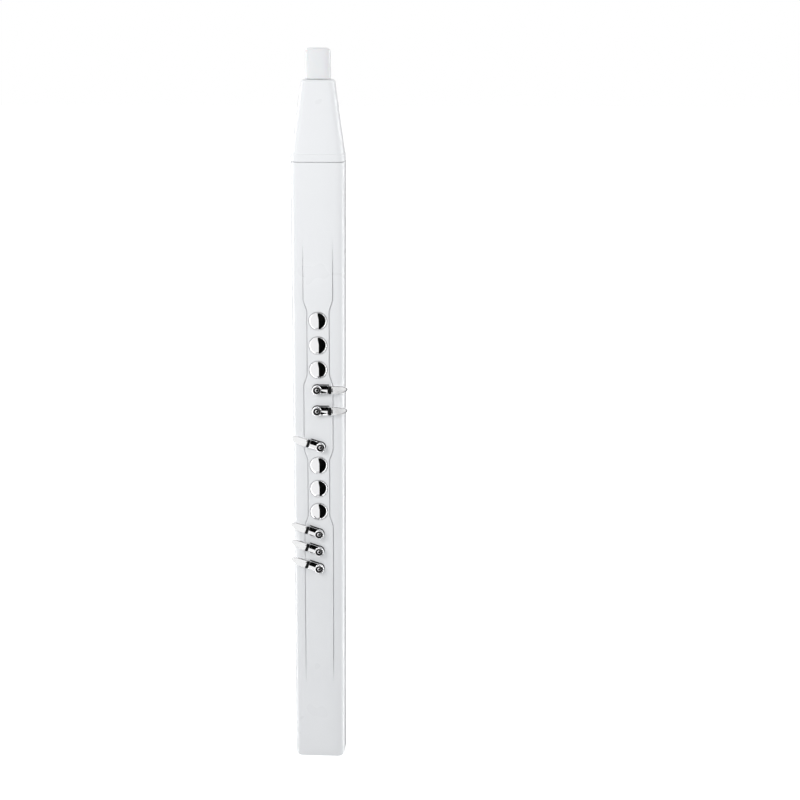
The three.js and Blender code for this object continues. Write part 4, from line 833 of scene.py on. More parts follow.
def front_section(half, front, radius, parting, across):
    """The front half of the section as columns: down one side, a quarter turn, across the face
    at the given shares of the flat's half-width, a quarter turn, and up the other side."""
    side = np.linspace(parting, -front + radius, SIDE_COLUMNS)[:-1]
    angle = np.linspace(0, np.pi / 2, CORNER_COLUMNS)
    flat = half - radius
    corner = np.stack([
        flat + radius * np.cos(angle),
        -front + radius - radius * np.sin(angle),
    ], -1)
    right = np.vstack([np.stack([np.full_like(side, half), side], -1), corner])
    face = np.stack([flat * across, np.full_like(across, -front)], -1)
    left = right[::-1] * [-1, 1]
    return np.vstack([right, face, left])


FACE_SHARES = np.linspace(1, -1, 17)[1:-1]
section = front_section(TUBE_HALF, FACE_DEPTH, CORNER_RADIUS, PARTING, FACE_SHARES)
print("columns round the front half:", len(section))

# %% [markdown]
# ## The white front shell
#
# A long shell with a raised land along its middle. The land is wide at its ends and waisted
# beside each group of finger keys, and it fades into the face at both ends. A land could be
# cut with booleans, but its outline would then cross the shell's own grid at random. Here
# the columns follow the outline instead: at every height, a few of them sit exactly on the
# land's edge, so its step and the fine groove at its foot stay crisp along the whole tube.

# %% Front shell surface
TUBE_TOP = box_of("front_shell")[1][2]
LAND_HALF = 12.0
LAND_WAIST = 9.0
LAND_RISE = 1.0
LAND_FOOT = 72.0
LAND_TOP = 468.3
LAND_FOOT_RAMP = 28.0
LAND_TOP_RAMP = 38.0
WAISTS = ((229.0, 279.5), (354.0, 408.6))
WAIST_FLARE = 8.8
FOOT_RADII = (4.5, 0.8)


def land_half_width(height):
    """Half the land's width at each height: wide, narrow at the two waists, with straight
    flares between."""
    knots = [[0.0, LAND_HALF]]
    for low, high in WAISTS:
        knots += [[low - WAIST_FLARE, LAND_HALF], [low, LAND_WAIST]]
        knots += [[high, LAND_WAIST], [high + WAIST_FLARE, LAND_HALF]]
    knots.append([TUBE_TOP, LAND_HALF])
    knots = np.array(knots)
    return np.interp(height, knots[:, 0], knots[:, 1])


def land_share(height):
    """How much of the land stands up at each height: one along it, fading at both ends."""
    foot = np.clip((height - LAND_FOOT) / LAND_FOOT_RAMP, 0, 1)
    top = np.clip((LAND_TOP - height) / LAND_TOP_RAMP, 0, 1)
    return np.minimum(foot, top)


def foot_height(across, depth):
    """Height of the rounded foot corner under a point. The corner's radius runs from the face
    to the parting, and within it the height is the radius less the circle's."""
    share = (depth + FACE_DEPTH) / (PARTING + FACE_DEPTH)
    radius = FOOT_RADII[0] + (FOOT_RADII[1] - FOOT_RADII[0]) * np.clip(share, 0, 1)
    into = np.clip((np.abs(across) - (TUBE_HALF - radius)) / radius, 0, 1)
    return radius * (1 - np.sqrt(np.maximum(1 - into**2, 0)))


print("land half-width at a waist:", land_half_width(WAISTS[0][0]), "foot radii:", FOOT_RADII)

# %% Outer grid
FIRST_ROW = 8.0
LAST_ROW_DROP = 1.2
ROW_COUNT = 96
FLARE_ROWS = (-0.9, -0.3, 0.3, 0.9)
BEYOND_SHARE = 0.55
INNER_SHARES = np.linspace(0, 1, 6)[-2:0:-1]
# Across from the land's edge in millimetres, and how much of its rise is left there
EDGE_OFFSETS = np.array([-0.62, -0.3, -0.08, 0.0, 0.06, 0.5, 0.58])
EDGE_LEVELS = np.array([1.0, 0.96, 0.7, 0.1, -1.2, -1.2, 0.0])


def shell_rows():
    """Heights of the rows, dense where the land changes."""
    flares = np.array([[low - WAIST_FLARE, low, high, high + WAIST_FLARE] for low, high in WAISTS])
    knots = np.concatenate([
        np.linspace(FIRST_ROW, TUBE_TOP - LAST_ROW_DROP, ROW_COUNT),
        (flares.reshape(-1, 1) + np.array([FLARE_ROWS])).ravel(),
        [LAND_FOOT, LAND_FOOT + LAND_FOOT_RAMP, LAND_TOP, LAND_TOP - LAND_TOP_RAMP],
    ])
    return np.unique(np.round(knots, 2))


def front_outer():
    """The outer surface: rows of heights by columns round the section. On the face the columns
    sit at the land's half-width plus fixed offsets, and their depth follows the land."""
    heights = shell_rows()
    half = land_half_width(heights)[:, None]
    rise = land_share(heights)[:, None]
    flat = TUBE_HALF - CORNER_RADIUS
    foot_of_step = half + EDGE_OFFSETS[-1]
    beyond = foot_of_step + (flat - half - EDGE_OFFSETS[-1]) * BEYOND_SHARE
    step = half + EDGE_OFFSETS[::-1]
    inner = (half + EDGE_OFFSETS[0]) * INNER_SHARES
    right_x = np.hstack([beyond, step, inner])
    right_up = np.hstack([
        np.zeros_like(beyond),
        EDGE_LEVELS[::-1] * rise,
        np.repeat(rise, inner.shape[1], 1),
    ])
    middle_x = np.zeros((len(heights), 1))
    face_x = np.hstack([right_x, middle_x, -right_x[:, ::-1]])
    face_up = np.hstack([right_up, rise, right_up[:, ::-1]])
    ring = front_section(TUBE_HALF, FACE_DEPTH, CORNER_RADIUS, PARTING, np.zeros(0))
    count = len(ring) // 2
    shape = (len(heights), len(ring) + face_x.shape[1])
    points = np.zeros(shape + (3,))
    points[:, :count, :2] = ring[:count]
    points[:, -count:, :2] = ring[-count:]
    points[:, count:-count, 0] = face_x
    points[:, count:-count, 1] = -FACE_DEPTH - LAND_RISE * face_up
    points[:, :, 2] = heights[:, None]
    return points


outer = front_outer()
print("outer grid:", outer.shape[:2], "columns on each land edge:", len(EDGE_OFFSETS))

# %% [markdown]
# The shell is closed like a mould maker would: the outer skin, the same ring drawn in by the
# wall for the inner skin, a foot, and a flat parting face that joins the two all round. The
# foot's corners are rounded most at the face and hardly at all at the parting, as on the
# real one. The holes for the finger keys are the only boolean.

# %% Front shell
FOOT_WALL = 3.0
FOOT_ROWS = 5
TOP_EDGE = 0.35
SHELL_SHARP = 26.0
NO_SHARES = np.zeros(0)


def drawn_in(ring, inset):
    """One row of the skin, moved in by an inset all round."""
    inward = front_section(
        TUBE_HALF - inset, FACE_DEPTH - inset, CORNER_RADIUS - inset, PARTING, NO_SHARES,
    )
    half = len(inward) // 2
    moved = ring.copy()
    moved[:half, :2] = inward[:half]
    moved[-half:, :2] = inward[-half:]
    moved[half:-half, 1] = -FACE_DEPTH + inset
    return moved


def foot_sheet(under):
    """The foot's underside, from the row of points under the face back to the parting."""
    share = np.linspace(0, 1, SIDE_COLUMNS)[:, None]
    depth = under[None, :, 1] + (PARTING - under[None, :, 1]) * share
    across = np.broadcast_to(under[:, 0], depth.shape)
    return np.stack([across, depth, foot_height(across, depth)], -1)


def front_shell_mesh():
    """Outer rows from the rounded foot to the top, a small edge there, the inner rows back
    down, then the foot plate, and one polygon for the parting face."""
    columns = outer.shape[1]
    ground = outer[:1].copy()
    ground[..., 1] = np.maximum(ground[..., 1], -FACE_DEPTH)
    ground[..., 2] = foot_height(ground[..., 0], ground[..., 1])
    lower = np.linspace(0, 1, FOOT_ROWS)[1:-1, None, None]
    rising = ground + (outer[:1] - ground) * lower
    rising[..., :2] = ground[..., :2]
    edge = outer[-1:].copy()
    edge[..., 2] = TUBE_TOP - TOP_EDGE
    top = drawn_in(outer[-1], TOP_EDGE)[None]
    top[..., 2] = TUBE_TOP
    inside = np.repeat(drawn_in(outer[-1], WALL)[None], 2, 0)
    inside[0, :, 2] = TUBE_TOP
    inside[1, :, 2] = FOOT_WALL
    rows = np.concatenate([ground, rising, outer, edge, top, inside])
    faces = grid_faces(len(rows), columns).tolist()
    last = (len(rows) - 1) * columns
    faces.append([last + k for k in range(columns)])
    side = SIDE_COLUMNS - 1
    foot = foot_sheet(ground[0, side:columns - side])
    start = len(rows) * columns
    faces += grid_faces(*foot.shape[:2], start=start).tolist()
    along = np.arange(len(rows)) * columns
    across = start + side * foot.shape[1] + np.arange(1, foot.shape[1] - 1)
    parting = np.concatenate([along[::-1], across, along + columns - 1])
    faces.append(parting.tolist())
    points = np.concatenate([rows.reshape(-1, 3), foot.reshape(-1, 3)])
    return make_mesh("front_shell_skin", points, faces, SHELL_SHARP)


shell_blank = front_shell_mesh()
print("closed shell points:", len(shell_blank.vertices))

# %% Key holes
KEY_HOLE_RADIUS = 7.8
HOLE_DEPTHS = (-24.0, -14.0)
ROUND_COLUMNS = 72


def hole_cutter(name, place):
    """A plain round cutter along Y through the face, at a place in X and Z."""
    front, back = HOLE_DEPTHS
    profile = [[0, front], [KEY_HOLE_RADIUS, front], [KEY_HOLE_RADIUS, back], [0, back]]
    points, faces = revolved(profile, ROUND_COLUMNS)
    return make_mesh(name, to_axis(points, "y") + np.array([place[0], 0.0, place[1]]), faces)


key_places = [centre_of(f"finger_key_{k}")[[0, 2]] for k in range(1, 7)]
cutters = [hole_cutter(f"key_hole_{k}", place) for k, place in enumerate(key_places)]
front_mesh = combine("front_shell_skin", shell_blank, cutters, "DIFFERENCE")
smooth_by_angle(front_mesh, SHELL_SHARP)
show("front_shell_skin", front_mesh, white_case, "case", ["front_shell"])
print("front shell faces:", len(front_mesh.polygons))

# %% [markdown]
# ## The head
#
# The head is a short collar, then a long taper with round corners, then a shoulder that
# turns in to the mouthpiece. Front and back halves are the same idea: a ring of the tube
# blended row by row into the smaller ring of the head's top. The white half takes the front
# ring. The black half takes the back ring, whose corners are cut flat rather than rounded,
# and these flats are what catches the long bright streaks.

# %% Head halves
HEAD_FOOT, HEAD_TOP = box_of("head_front")[0][2], box_of("head_front")[1][2]
FOOT_EDGE = 0.35
COLLAR_TOP = HEAD_FOOT + 6.4
CREASE = 0.5
HEAD_HALF = 13.7
HEAD_FRONT = 12.5
HEAD_REAR = 8.5
HEAD_RADIUS = 5.0
HEAD_EDGE = 2.6
TAPER_ROWS = 14
EDGE_ROWS = 7
PIPE_HOLE = 4.3
PIPE_DEPTH = -2.0
ROOF_SHARES = (0.35, 0.7, 1.0)


def head_levels():
    """Height, share of the taper and inset of each row: the foot with a small edge, the
    collar, the crease, the taper, and the shoulder as a quarter of a circle."""
    edge = HEAD_TOP - HEAD_EDGE
    levels = [(HEAD_FOOT, 0, FOOT_EDGE), (HEAD_FOOT + FOOT_EDGE, 0, 0)]
    levels += [(COLLAR_TOP - CREASE, 0, 0), (COLLAR_TOP, 0, CREASE)]
    for share in np.linspace(0, 1, TAPER_ROWS)[1:]:
        levels.append((COLLAR_TOP + (edge - COLLAR_TOP) * share, share, CREASE * (1 - share)))
    for turn in np.linspace(0, np.pi / 2, EDGE_ROWS)[1:]:
        levels.append((edge + HEAD_EDGE * math.sin(turn), 1, HEAD_EDGE * (1 - math.cos(turn))))
    return levels


def head_rows(ring_of, hole_angles):
    """Rows of one skin of the head: its levels, and last the flat roof with the round hole for
    the air pipe. ring_of gives the ring at a share of the taper and an inset."""
    rows = []
    for height, share, inset in head_levels():
        ring = ring_of(share, inset)
        rows.append(np.column_stack([ring, np.full(len(ring), height)]))
    hole = np.stack([
        PIPE_HOLE * np.cos(hole_angles), PIPE_DEPTH + PIPE_HOLE * np.sin(hole_angles),
    ], -1)
    last = rows[-1][:, :2]
    for share in ROOF_SHARES:
        mixed = last + (hole - last) * share
        rows.append(np.column_stack([mixed, np.full(len(mixed), HEAD_TOP)]))
    return np.array(rows)


def closed_from_sheets(name, outer_rows, inner_rows):
    """Two sheets of one shape, sewn along all four borders into a closed body: outer rows up,
    inner rows back down, and a ladder of quads at each end of the columns."""
    rows = np.concatenate([outer_rows, inner_rows[::-1]])
    total, columns = rows.shape[:2]
    faces = grid_faces(total, columns, wrap_rows=True).tolist()
    half = total // 2
    step = np.arange(half - 1)
    for edge, order in ((0, 1), (columns - 1, -1)):
        near = step * columns + edge
        near_next = (step + 1) * columns + edge
        far = (total - 1 - step) * columns + edge
        far_next = (total - 2 - step) * columns + edge
        ladder = np.stack([near, near_next, far_next, far], -1)[:, ::order]
        faces += ladder.tolist()
    return make_mesh(name, rows, faces, SHELL_SHARP)


def front_ring(share, inset, wall=0.0):
    """The front ring: every size of the tube's section blended into the head's top by the
    share, less the inset and the wall."""
    half = TUBE_HALF + (HEAD_HALF - TUBE_HALF) * share - inset - wall
    front = FACE_DEPTH + (HEAD_FRONT - FACE_DEPTH) * share - inset - wall
    radius = max(CORNER_RADIUS + (HEAD_RADIUS - CORNER_RADIUS) * share - wall, 1.0)
    return front_section(half, front, radius, PARTING, FACE_SHARES)


print("rows of the head:", len(head_levels()) + len(ROOF_SHARES))

# %% Back ring of the head
REAR_PARTING = 2.15
SHOULDER = 4.0
SHOULDER_GAP = 0.6
REAR_DEPTH = 14.0
ARCH_TOP = 4.0
ARCH_SPREAD = 11.4
ARCH_POWER = 0.62
FACET_TOP = 1.4
FACET_SPREAD = 3.2
FACET_DROP = 0.42
RING_POINTS = 81
RING_SOFT = (0.0, 0.7, 1.4, 1.8, 1.8, 1.4, 0.7, 0.0)


def rear_ring(share, inset, wall=0.0):
    """The back ring. Its flat face opens downwards as an arch: half its width is ARCH_TOP plus
    ARCH_SPREAD times the share to a power. Beside it lie a bevel and a steeper facet."""
    half = TUBE_HALF + (HEAD_HALF - TUBE_HALF) * share - inset - wall
    rear = REAR_DEPTH + (HEAD_REAR - REAR_DEPTH) * share - inset - wall
    shoulder = SHOULDER + (REAR_PARTING + SHOULDER_GAP - SHOULDER) * share
    arch = ARCH_TOP + ARCH_SPREAD * (1 - share) ** ARCH_POWER - (inset + wall) / 2
    ridge = half - FACET_TOP - FACET_SPREAD * (1 - share)
    ridge_depth = shoulder + (rear - shoulder) * (1 - FACET_DROP)
    right = np.array([[half, REAR_PARTING], [half, shoulder], [ridge, ridge_depth], [arch, rear]])
    path = soften(np.vstack([right, right[::-1] * [-1, 1]]), RING_SOFT, 8)
    steps = np.linalg.norm(np.diff(path, axis=0), axis=1)
    length = np.concatenate([[0], np.cumsum(steps)])
    places = np.linspace(0, len(path) - 1, RING_POINTS)
    stops = np.interp(places, np.arange(len(path)), length)
    return np.stack([np.interp(stops, length, path[:, k]) for k in (0, 1)], -1)


print("points round the back half:", len(rear_ring(0.0, 0.0)))

# %% Both halves of the head
ROOF_WALL = 2.4
ROOF_REACH = 1.0


def head_half(name, ring, side):
    """One half of the head: its outer sheet, and an inner sheet one wall further in. Side is
    minus one for the front half and one for the back half, whose arcs run the other way."""
    count = len(ring(0, 0))
    parting = PARTING if side < 0 else REAR_PARTING
    start = math.asin((parting - PIPE_DEPTH) / PIPE_HOLE)
    end = -math.pi - start if side < 0 else math.pi - start
    angles = np.linspace(start, end, count)
    outside = head_rows(ring, angles)
    inside = head_rows(lambda share, inset: ring(share, inset, WALL), angles)
    height = inside[:, :, 2]
    roof = height > HEAD_TOP - HEAD_EDGE - ROOF_REACH
    inside[:, :, 2] = np.where(roof, np.minimum(height, HEAD_TOP - ROOF_WALL), height)
    return closed_from_sheets(name, outside, inside)


head_front_mesh = head_half("head_front_skin", front_ring, -1)
show("head_front_skin", head_front_mesh, white_case, "case", ["head_front"])
head_rear_mesh = head_half("head_rear_skin", rear_ring, 1)
show("head_rear_skin", head_rear_mesh, black_gloss, "case", ["head_rear"])
print("head faces:", len(head_front_mesh.polygons), len(head_rear_mesh.polygons))

# %% [markdown]
# ## The mouthpiece
#
# A soft cap, a little flattened front to back, that slips over the air pipe and pulls off
# upwards. Its rings are rounded rectangles: the cosine and sine of the angle, each raised to
# a power below one. They go up the outside, over the rounded top into the air slot, down the
# slot, out to the round socket and back to the foot, so that the cap is one closed skin.

# %% Mouthpiece
MOUTH_HALF = (10.5, 10.1)
MOUTH_DEPTH = (7.5, 4.75)
MOUTH_CORNER = 3.2
MOUTH_CORNER_SHARE = 0.62
MOUTH_FOOT_EDGE = 0.5
MOUTH_SQUARENESS = 0.6
MOUTH_COLUMNS = 72
SLOT_HALF = (4.8, 2.4)
SLOT_FLARE = (0.4, 0.3)
SLOT_EDGE = 0.45
SLOT_SQUARENESS = 0.55
MOUTH_SOCKET_TOP = 607.6
SOFT_SHARP = 40.0


def mouth_ring(half_width, half_depth, height, squareness):
    """A rounded rectangle: half-widths times the signed power of the cosine and the sine."""
    angle = np.linspace(0, 2 * np.pi, MOUTH_COLUMNS, endpoint=False) + np.pi / MOUTH_COLUMNS
    cosine, sine = np.cos(angle), np.sin(angle)
    return np.stack([
        half_width * np.sign(cosine) * np.abs(cosine) ** squareness,
        PIPE_DEPTH + half_depth * np.sign(sine) * np.abs(sine) ** squareness,
        np.full(MOUTH_COLUMNS, float(height)),
    ], -1)


def mouth_outside(foot, straight):
    """The rings up the outside: a small edge, the straight taper, and the quarter circle
    over the top, which draws in less in depth than in width."""
    share = np.linspace(0, 1, 12)
    width = MOUTH_HALF[0] + (MOUTH_HALF[1] - MOUTH_HALF[0]) * share
    depth = MOUTH_DEPTH[0] + (MOUTH_DEPTH[1] - MOUTH_DEPTH[0]) * share
    height = foot + MOUTH_FOOT_EDGE + (straight - foot - MOUTH_FOOT_EDGE) * share
    sizes = [(MOUTH_HALF[0] - MOUTH_FOOT_EDGE, MOUTH_DEPTH[0] - MOUTH_FOOT_EDGE, foot)]
    sizes += list(zip(width, depth, height))
    for angle in np.linspace(0, np.pi / 2, 8)[1:]:
        inset = MOUTH_CORNER * (1 - math.cos(angle))
        sizes.append((
            MOUTH_HALF[1] - inset,
            MOUTH_DEPTH[1] - inset * MOUTH_CORNER_SHARE,
            straight + MOUTH_CORNER * math.sin(angle),
        ))
    return [mouth_ring(*size, MOUTH_SQUARENESS) for size in sizes]


def mouthpiece_mesh():
    """The rings named above, as one grid that wraps both ways."""
    foot, top = box_of("mouthpiece")[0][2], box_of("mouthpiece")[1][2]
    mouth = (SLOT_HALF[0] + SLOT_FLARE[0], SLOT_HALF[1] + SLOT_FLARE[1])
    points = np.array([
        *mouth_outside(foot, top - MOUTH_CORNER),
        mouth_ring(*mouth, top, SLOT_SQUARENESS),
        mouth_ring(*SLOT_HALF, top - SLOT_EDGE, SLOT_SQUARENESS),
        mouth_ring(*SLOT_HALF, MOUTH_SOCKET_TOP, SLOT_SQUARENESS),
        mouth_ring(PIPE_HOLE, PIPE_HOLE, MOUTH_SOCKET_TOP, 1.0),
        mouth_ring(PIPE_HOLE, PIPE_HOLE, foot, 1.0),
    ])
    faces = grid_faces(*points.shape[:2], True, True)
    return make_mesh("mouthpiece_cap", points, faces, SOFT_SHARP)


mouth_mesh = mouthpiece_mesh()
show("mouthpiece_cap", mouth_mesh, white_soft, "mouthpiece", ["mouthpiece"])
print("mouthpiece faces:", len(mouth_mesh.polygons))

# %% [markdown]
# ## Finger keys
#
# Each key is a plated dome in a rim. A sphere in a ring would do from far away, but then the
# line between them is a hard crease. A turned profile gives the whole key in one skin: the
# stem and flange behind the wall, the outer rim with a rounded top, a fine valley, and the
# dome, which is part of a sphere. The valley draws the thin dark ring round the bright dome.

# %% Finger keys
LAND_FACE = -19.0
DOME_RADIUS = 7.12
DOME_RISE = 2.75
DOME_BASE = 0.5
DOME_ROWS = 18
STEM_RADIUS = 2.0
STEM_FOOT = -4.9
FLANGE_RADIUS = 8.9
FLANGE_BACK = -4.1
FLANGE_FACE = -3.1
RIM_RADIUS = 7.5
RIM_FOOT = -1.0
RIM_TOP = 0.4
RIM_SOFT = (0.0, 0.2, 0.1, 0.05, 0.0)
VALLEY = ((7.25, RIM_TOP), (7.2, 0.2))
KEY_SHARP = 38.0


def finger_key_profile():
    """Radius and height above the land, from the stem's foot to the crown of the dome. The
    sphere's radius is the dome's squared radius plus its squared rise, over twice the rise."""
    sphere = (DOME_RADIUS**2 + DOME_RISE**2) / (2 * DOME_RISE)
    angle = np.linspace(math.asin(DOME_RADIUS / sphere), 0, DOME_ROWS)
    crown = DOME_BASE + DOME_RISE
    dome = np.stack([sphere * np.sin(angle), crown - sphere * (1 - np.cos(angle))], -1)
    behind = soften([
        [0, STEM_FOOT], [STEM_RADIUS, STEM_FOOT], [STEM_RADIUS, FLANGE_BACK],
        [FLANGE_RADIUS, FLANGE_BACK], [FLANGE_RADIUS, FLANGE_FACE],
        [RIM_RADIUS, FLANGE_FACE], [RIM_RADIUS, RIM_FOOT],
    ], 0.15, 3)
    rim = soften([
        [RIM_RADIUS, RIM_FOOT], [RIM_RADIUS, RIM_TOP], *VALLEY, [DOME_RADIUS, DOME_BASE],
    ], RIM_SOFT, 5)
    return np.vstack([behind, rim[1:], dome[1:]])


def place_outward(points, across, height):
    """Local height points out of the front face: X stays, local Y runs up, Z becomes -Y."""
    depth = LAND_FACE - points[..., 2]
    return np.stack([points[..., 0] + across, depth, points[..., 1] + height], -1)


key_points, key_faces = revolved(finger_key_profile(), ROUND_COLUMNS)
for k, (across, height) in enumerate(key_places, 1):
    name = f"finger_key_dome_{k}"
    mesh = make_mesh(name, place_outward(key_points, across, height), key_faces, KEY_SHARP)
    show(name, mesh, chrome, f"finger_key_{k}", [f"finger_key_{k}"])
print("finger keys:", len(key_places), "faces each:", len(key_faces))

# %% [markdown]
# ## Side keys
#
# A side key is a round boss with a screw, a barrel that leads outwards from it, a thin black
# sheet under both that paints their contact shadow and a dark reflection round their foot, a
# black collar, and a spoon-shaped lever. Six copies could be modelled in place, but they lean
# at three angles. So each piece is made once in its own frame (X along the lever, Y out of the
# land, Z across) and set in place by a matrix whose columns are these three directions. The
# spoon is a stack of flattened rings whose width follows a power curve to a rounded tip, and
# whose face rises towards it.

# %% Side key places
LEFT_TILT = math.radians(17.3)
LOW_TILT = math.radians(19.0)
KEY_TILTS = ((1, 0.0), (1, 0.0), (-1, LEFT_TILT), (-1, LOW_TILT), (-1, LOW_TILT), (-1, LOW_TILT))


def side_key_frame(index):
    """Origin and axes of a side key: its screw's middle gives the place, its tilt the rest."""
    side, tilt = KEY_TILTS[index]
    middle = centre_of(f"side_key_screw_{index + 1}")
    outward = np.array([side * math.cos(tilt), 0.0, math.sin(tilt)])
    out = np.array([0.0, -1.0, 0.0])
    across = np.cross(outward, out)
    return np.array([middle[0], LAND_FACE, middle[2]]), np.stack([outward, out, across])


def into_frame(points, index):
    """Points in a side key's own frame, turned and moved to its place on the tube."""
    origin, axes = side_key_frame(index)
    return np.asarray(points).reshape(-1, 3) @ axes + origin


print("first side key at", np.round(side_key_frame(0)[0], 2))

# %% Side key mount
BOSS_RADIUS = 4.0
MOUNT_HEIGHT = 5.0
MOUNT_GAP = 0.3
BARREL_HALF = 3.8
BARREL_LENGTH = 9.6
# Height and half-width round the barrel's section, from one foot over the crown to the other
BARREL_CORNERS = (
    (MOUNT_GAP, 3.8), (2.6, 3.8), (3.05, 3.3), (4.85, 0.75),
    (MOUNT_HEIGHT, -1.9), (3.7, -3.4), (2.4, -3.8), (MOUNT_GAP, -3.8),
)
BARREL_SOFT = (0.0, 0.4, 0.35, 0.45, 0.45, 0.4, 0.4, 0.0)
# How far before the barrel's end each ring lies, and its scale there
BARREL_ENDS = ((BARREL_LENGTH, 1.0), (0.6, 1.0), (0.2, 1.0), (0.06, 0.985), (0.0, 0.95))
FORK_DEPTH = 3.0
FORK_HALF = 1.9
PIN_RADIUS = 0.6
PIN_REACH = 0.2
PIVOT_BACK = 1.4
PIVOT_HEIGHT = 3.0
COUNTERBORE = 1.6
SEAT_RADIUS = 3.1
SEAT_FLOOR = MOUNT_HEIGHT - COUNTERBORE
SLOT_CEILING = 4.1
OVERRUN = 2.0


def turned_y(name, profile, turns=48):
    """A turned body whose height runs along the local Y axis."""
    points, faces = revolved(profile, turns)
    return make_mesh(name, to_axis(points, "y"), faces)


def barrel_mesh():
    """A section swept along X, with rounded ends. It has a sloped flat above, an upright flat
    in the middle and a short sloped flat below, and soft corners between them."""
    arch = soften(BARREL_CORNERS, BARREL_SOFT, 7)
    rings = []
    for before, scale in BARREL_ENDS:
        ring = arch * scale
        ring[:, 0] = np.maximum(ring[:, 0], MOUNT_GAP)
        rings.append(np.column_stack([np.full(len(ring), BARREL_LENGTH - before), ring]))
    rings = np.array(rings)
    return make_mesh("barrel", rings, capped(rings))


def box_mesh(name, low, high):
    """A plain box between two corners, used as a cutter."""
    low, high = np.array(low, float), np.array(high, float)
    pick = np.array([[i, j, k] for i in (0, 1) for j in (0, 1) for k in (0, 1)])
    points = np.where(pick == 1, high, low)
    faces = [[0, 1, 3, 2], [4, 6, 7, 5], [0, 4, 5, 1], [2, 3, 7, 6], [0, 2, 6, 4], [1, 5, 7, 3]]
    return make_mesh(name, points, faces)


def mount_mesh():
    """Barrel and boss joined, then the fork's slot and the screw's seat cut out."""
    boss_corners = [
        [0, MOUNT_GAP], [BOSS_RADIUS, MOUNT_GAP], [BOSS_RADIUS, MOUNT_HEIGHT], [0, MOUNT_HEIGHT],
    ]
    boss = turned_y("boss", soften(boss_corners, [0, 0.2, 0.8, 0], 7))
    body = combine("mount_body", barrel_mesh(), [boss], "UNION")
    slot = box_mesh(
        "slot",
        [BARREL_LENGTH - FORK_DEPTH, -1, -FORK_HALF],
        [BARREL_LENGTH + OVERRUN, SLOT_CEILING, FORK_HALF],
    )
    above = MOUNT_HEIGHT + 2 * OVERRUN
    seat_profile = [[0, SEAT_FLOOR], [SEAT_RADIUS, SEAT_FLOOR], [SEAT_RADIUS, above], [0, above]]
    body = combine("mount_cut", body, [slot, turned_y("seat", seat_profile)], "DIFFERENCE")
    reach = FORK_HALF + PIN_REACH
    points, faces = revolved([[0, -reach], [PIN_RADIUS, -reach], [PIN_RADIUS, reach], [0, reach]], 20)
    pin_place = np.array([BARREL_LENGTH - PIVOT_BACK, PIVOT_HEIGHT, 0.0])
    return combine("mount", body, [make_mesh("pin", points + pin_place, faces)], "UNION")


mount = finished(mount_mesh(), 0.14, 2, 40.0)
print("mount faces:", len(mount.polygons))

# %% Washer, and painted shade: a dark disc in each hexagon and a dark sheet under each mount
SCREW_HEAD = 1.75
HEX_REACH = 1.0
WASHER_INSET = 0.5
WASHER_ROOM = 0.05
WASHER_RISE = (1.2, 0.6)
# A small black disc at the floor of each screw's hexagon: painted shade in the recess.
SHADE_DISC_RADIUS = HEX_REACH - 0.14
SHADE_DISC_DEPTHS = (1.0, 0.6)
# A thin black sheet under each mount: painted contact shadow and dark reflection round its foot.
SHADOW_RIM_REACH = 0.4
SHADOW_RIM_EDGE = 0.06


def washer_and_shade_mesh():
    """The black ring under the screw's head, whose profile is a closed, soft-cornered wedge,
    and a small black disc at the floor of the hexagon in the head, which paints the shade in that recess."""
    inner, edge = SCREW_HEAD - WASHER_INSET, SEAT_RADIUS - WASHER_ROOM
    high, low = (SEAT_FLOOR + rise for rise in WASHER_RISE)
    wedge = soften([[inner, SEAT_FLOOR], [edge, SEAT_FLOOR], [edge, high], [inner, low]], 0.12, 3, True)
    points, faces = revolved(np.vstack([wedge, wedge[:1]]))
    floor, roof = (MOUNT_HEIGHT - depth for depth in SHADE_DISC_DEPTHS)
    shade_disc = [[0, floor], [SHADE_DISC_RADIUS, floor], [SHADE_DISC_RADIUS, roof], [0, roof]]
    shade_disc_points, shade_disc_faces = revolved(shade_disc, 24)
    both = np.concatenate([points.reshape(-1, 3), shade_disc_points.reshape(-1, 3)])
    faces = np.concatenate([faces, shade_disc_faces + points.shape[0] * points.shape[1]])
    return make_mesh("washer_and_shade", to_axis(both, "y"), faces)


def shadow_rim_mesh():
    """Painted shadow: the thin black plate under the mount, which draws a dark outline round its
    foot in place of contact shadow and dark reflection. Its outline is the boss's circle and the
    barrel's sides, each SHADOW_RIM_REACH further out, and its upper edge is drawn in by SHADOW_RIM_EDGE."""
    radius, half = BOSS_RADIUS + SHADOW_RIM_REACH, BARREL_HALF + SHADOW_RIM_REACH
    start = math.asin(half / radius)
    angle = np.linspace(start, 2 * np.pi - start, 41)
    end = BARREL_LENGTH + SHADOW_RIM_REACH / 2
    circle = radius * np.stack([np.cos(angle), np.sin(angle)], -1)
    outline = np.vstack([circle, [[end, -half], [end, half]]])
    rings = []
    for height, inset in ((0.0, 0.0), (MOUNT_GAP - SHADOW_RIM_EDGE, 0.0), (MOUNT_GAP, SHADOW_RIM_EDGE)):
        ring = outline * (1 - inset / half)
        rings.append(np.stack([ring[:, 0], np.full(len(ring), height), ring[:, 1]], -1))
    return make_mesh("shadow_rim", rings, capped(np.array(rings)))


shadow_rim = shadow_rim_mesh()
washer_and_shade = washer_and_shade_mesh()
print("gasket faces:", len(shadow_rim.polygons), "washer faces:", len(washer_and_shade.polygons))

# %% Side key lever
SPOON_START = 11.9
SPOON_END = 25.7
SPOON_HALF = 3.8
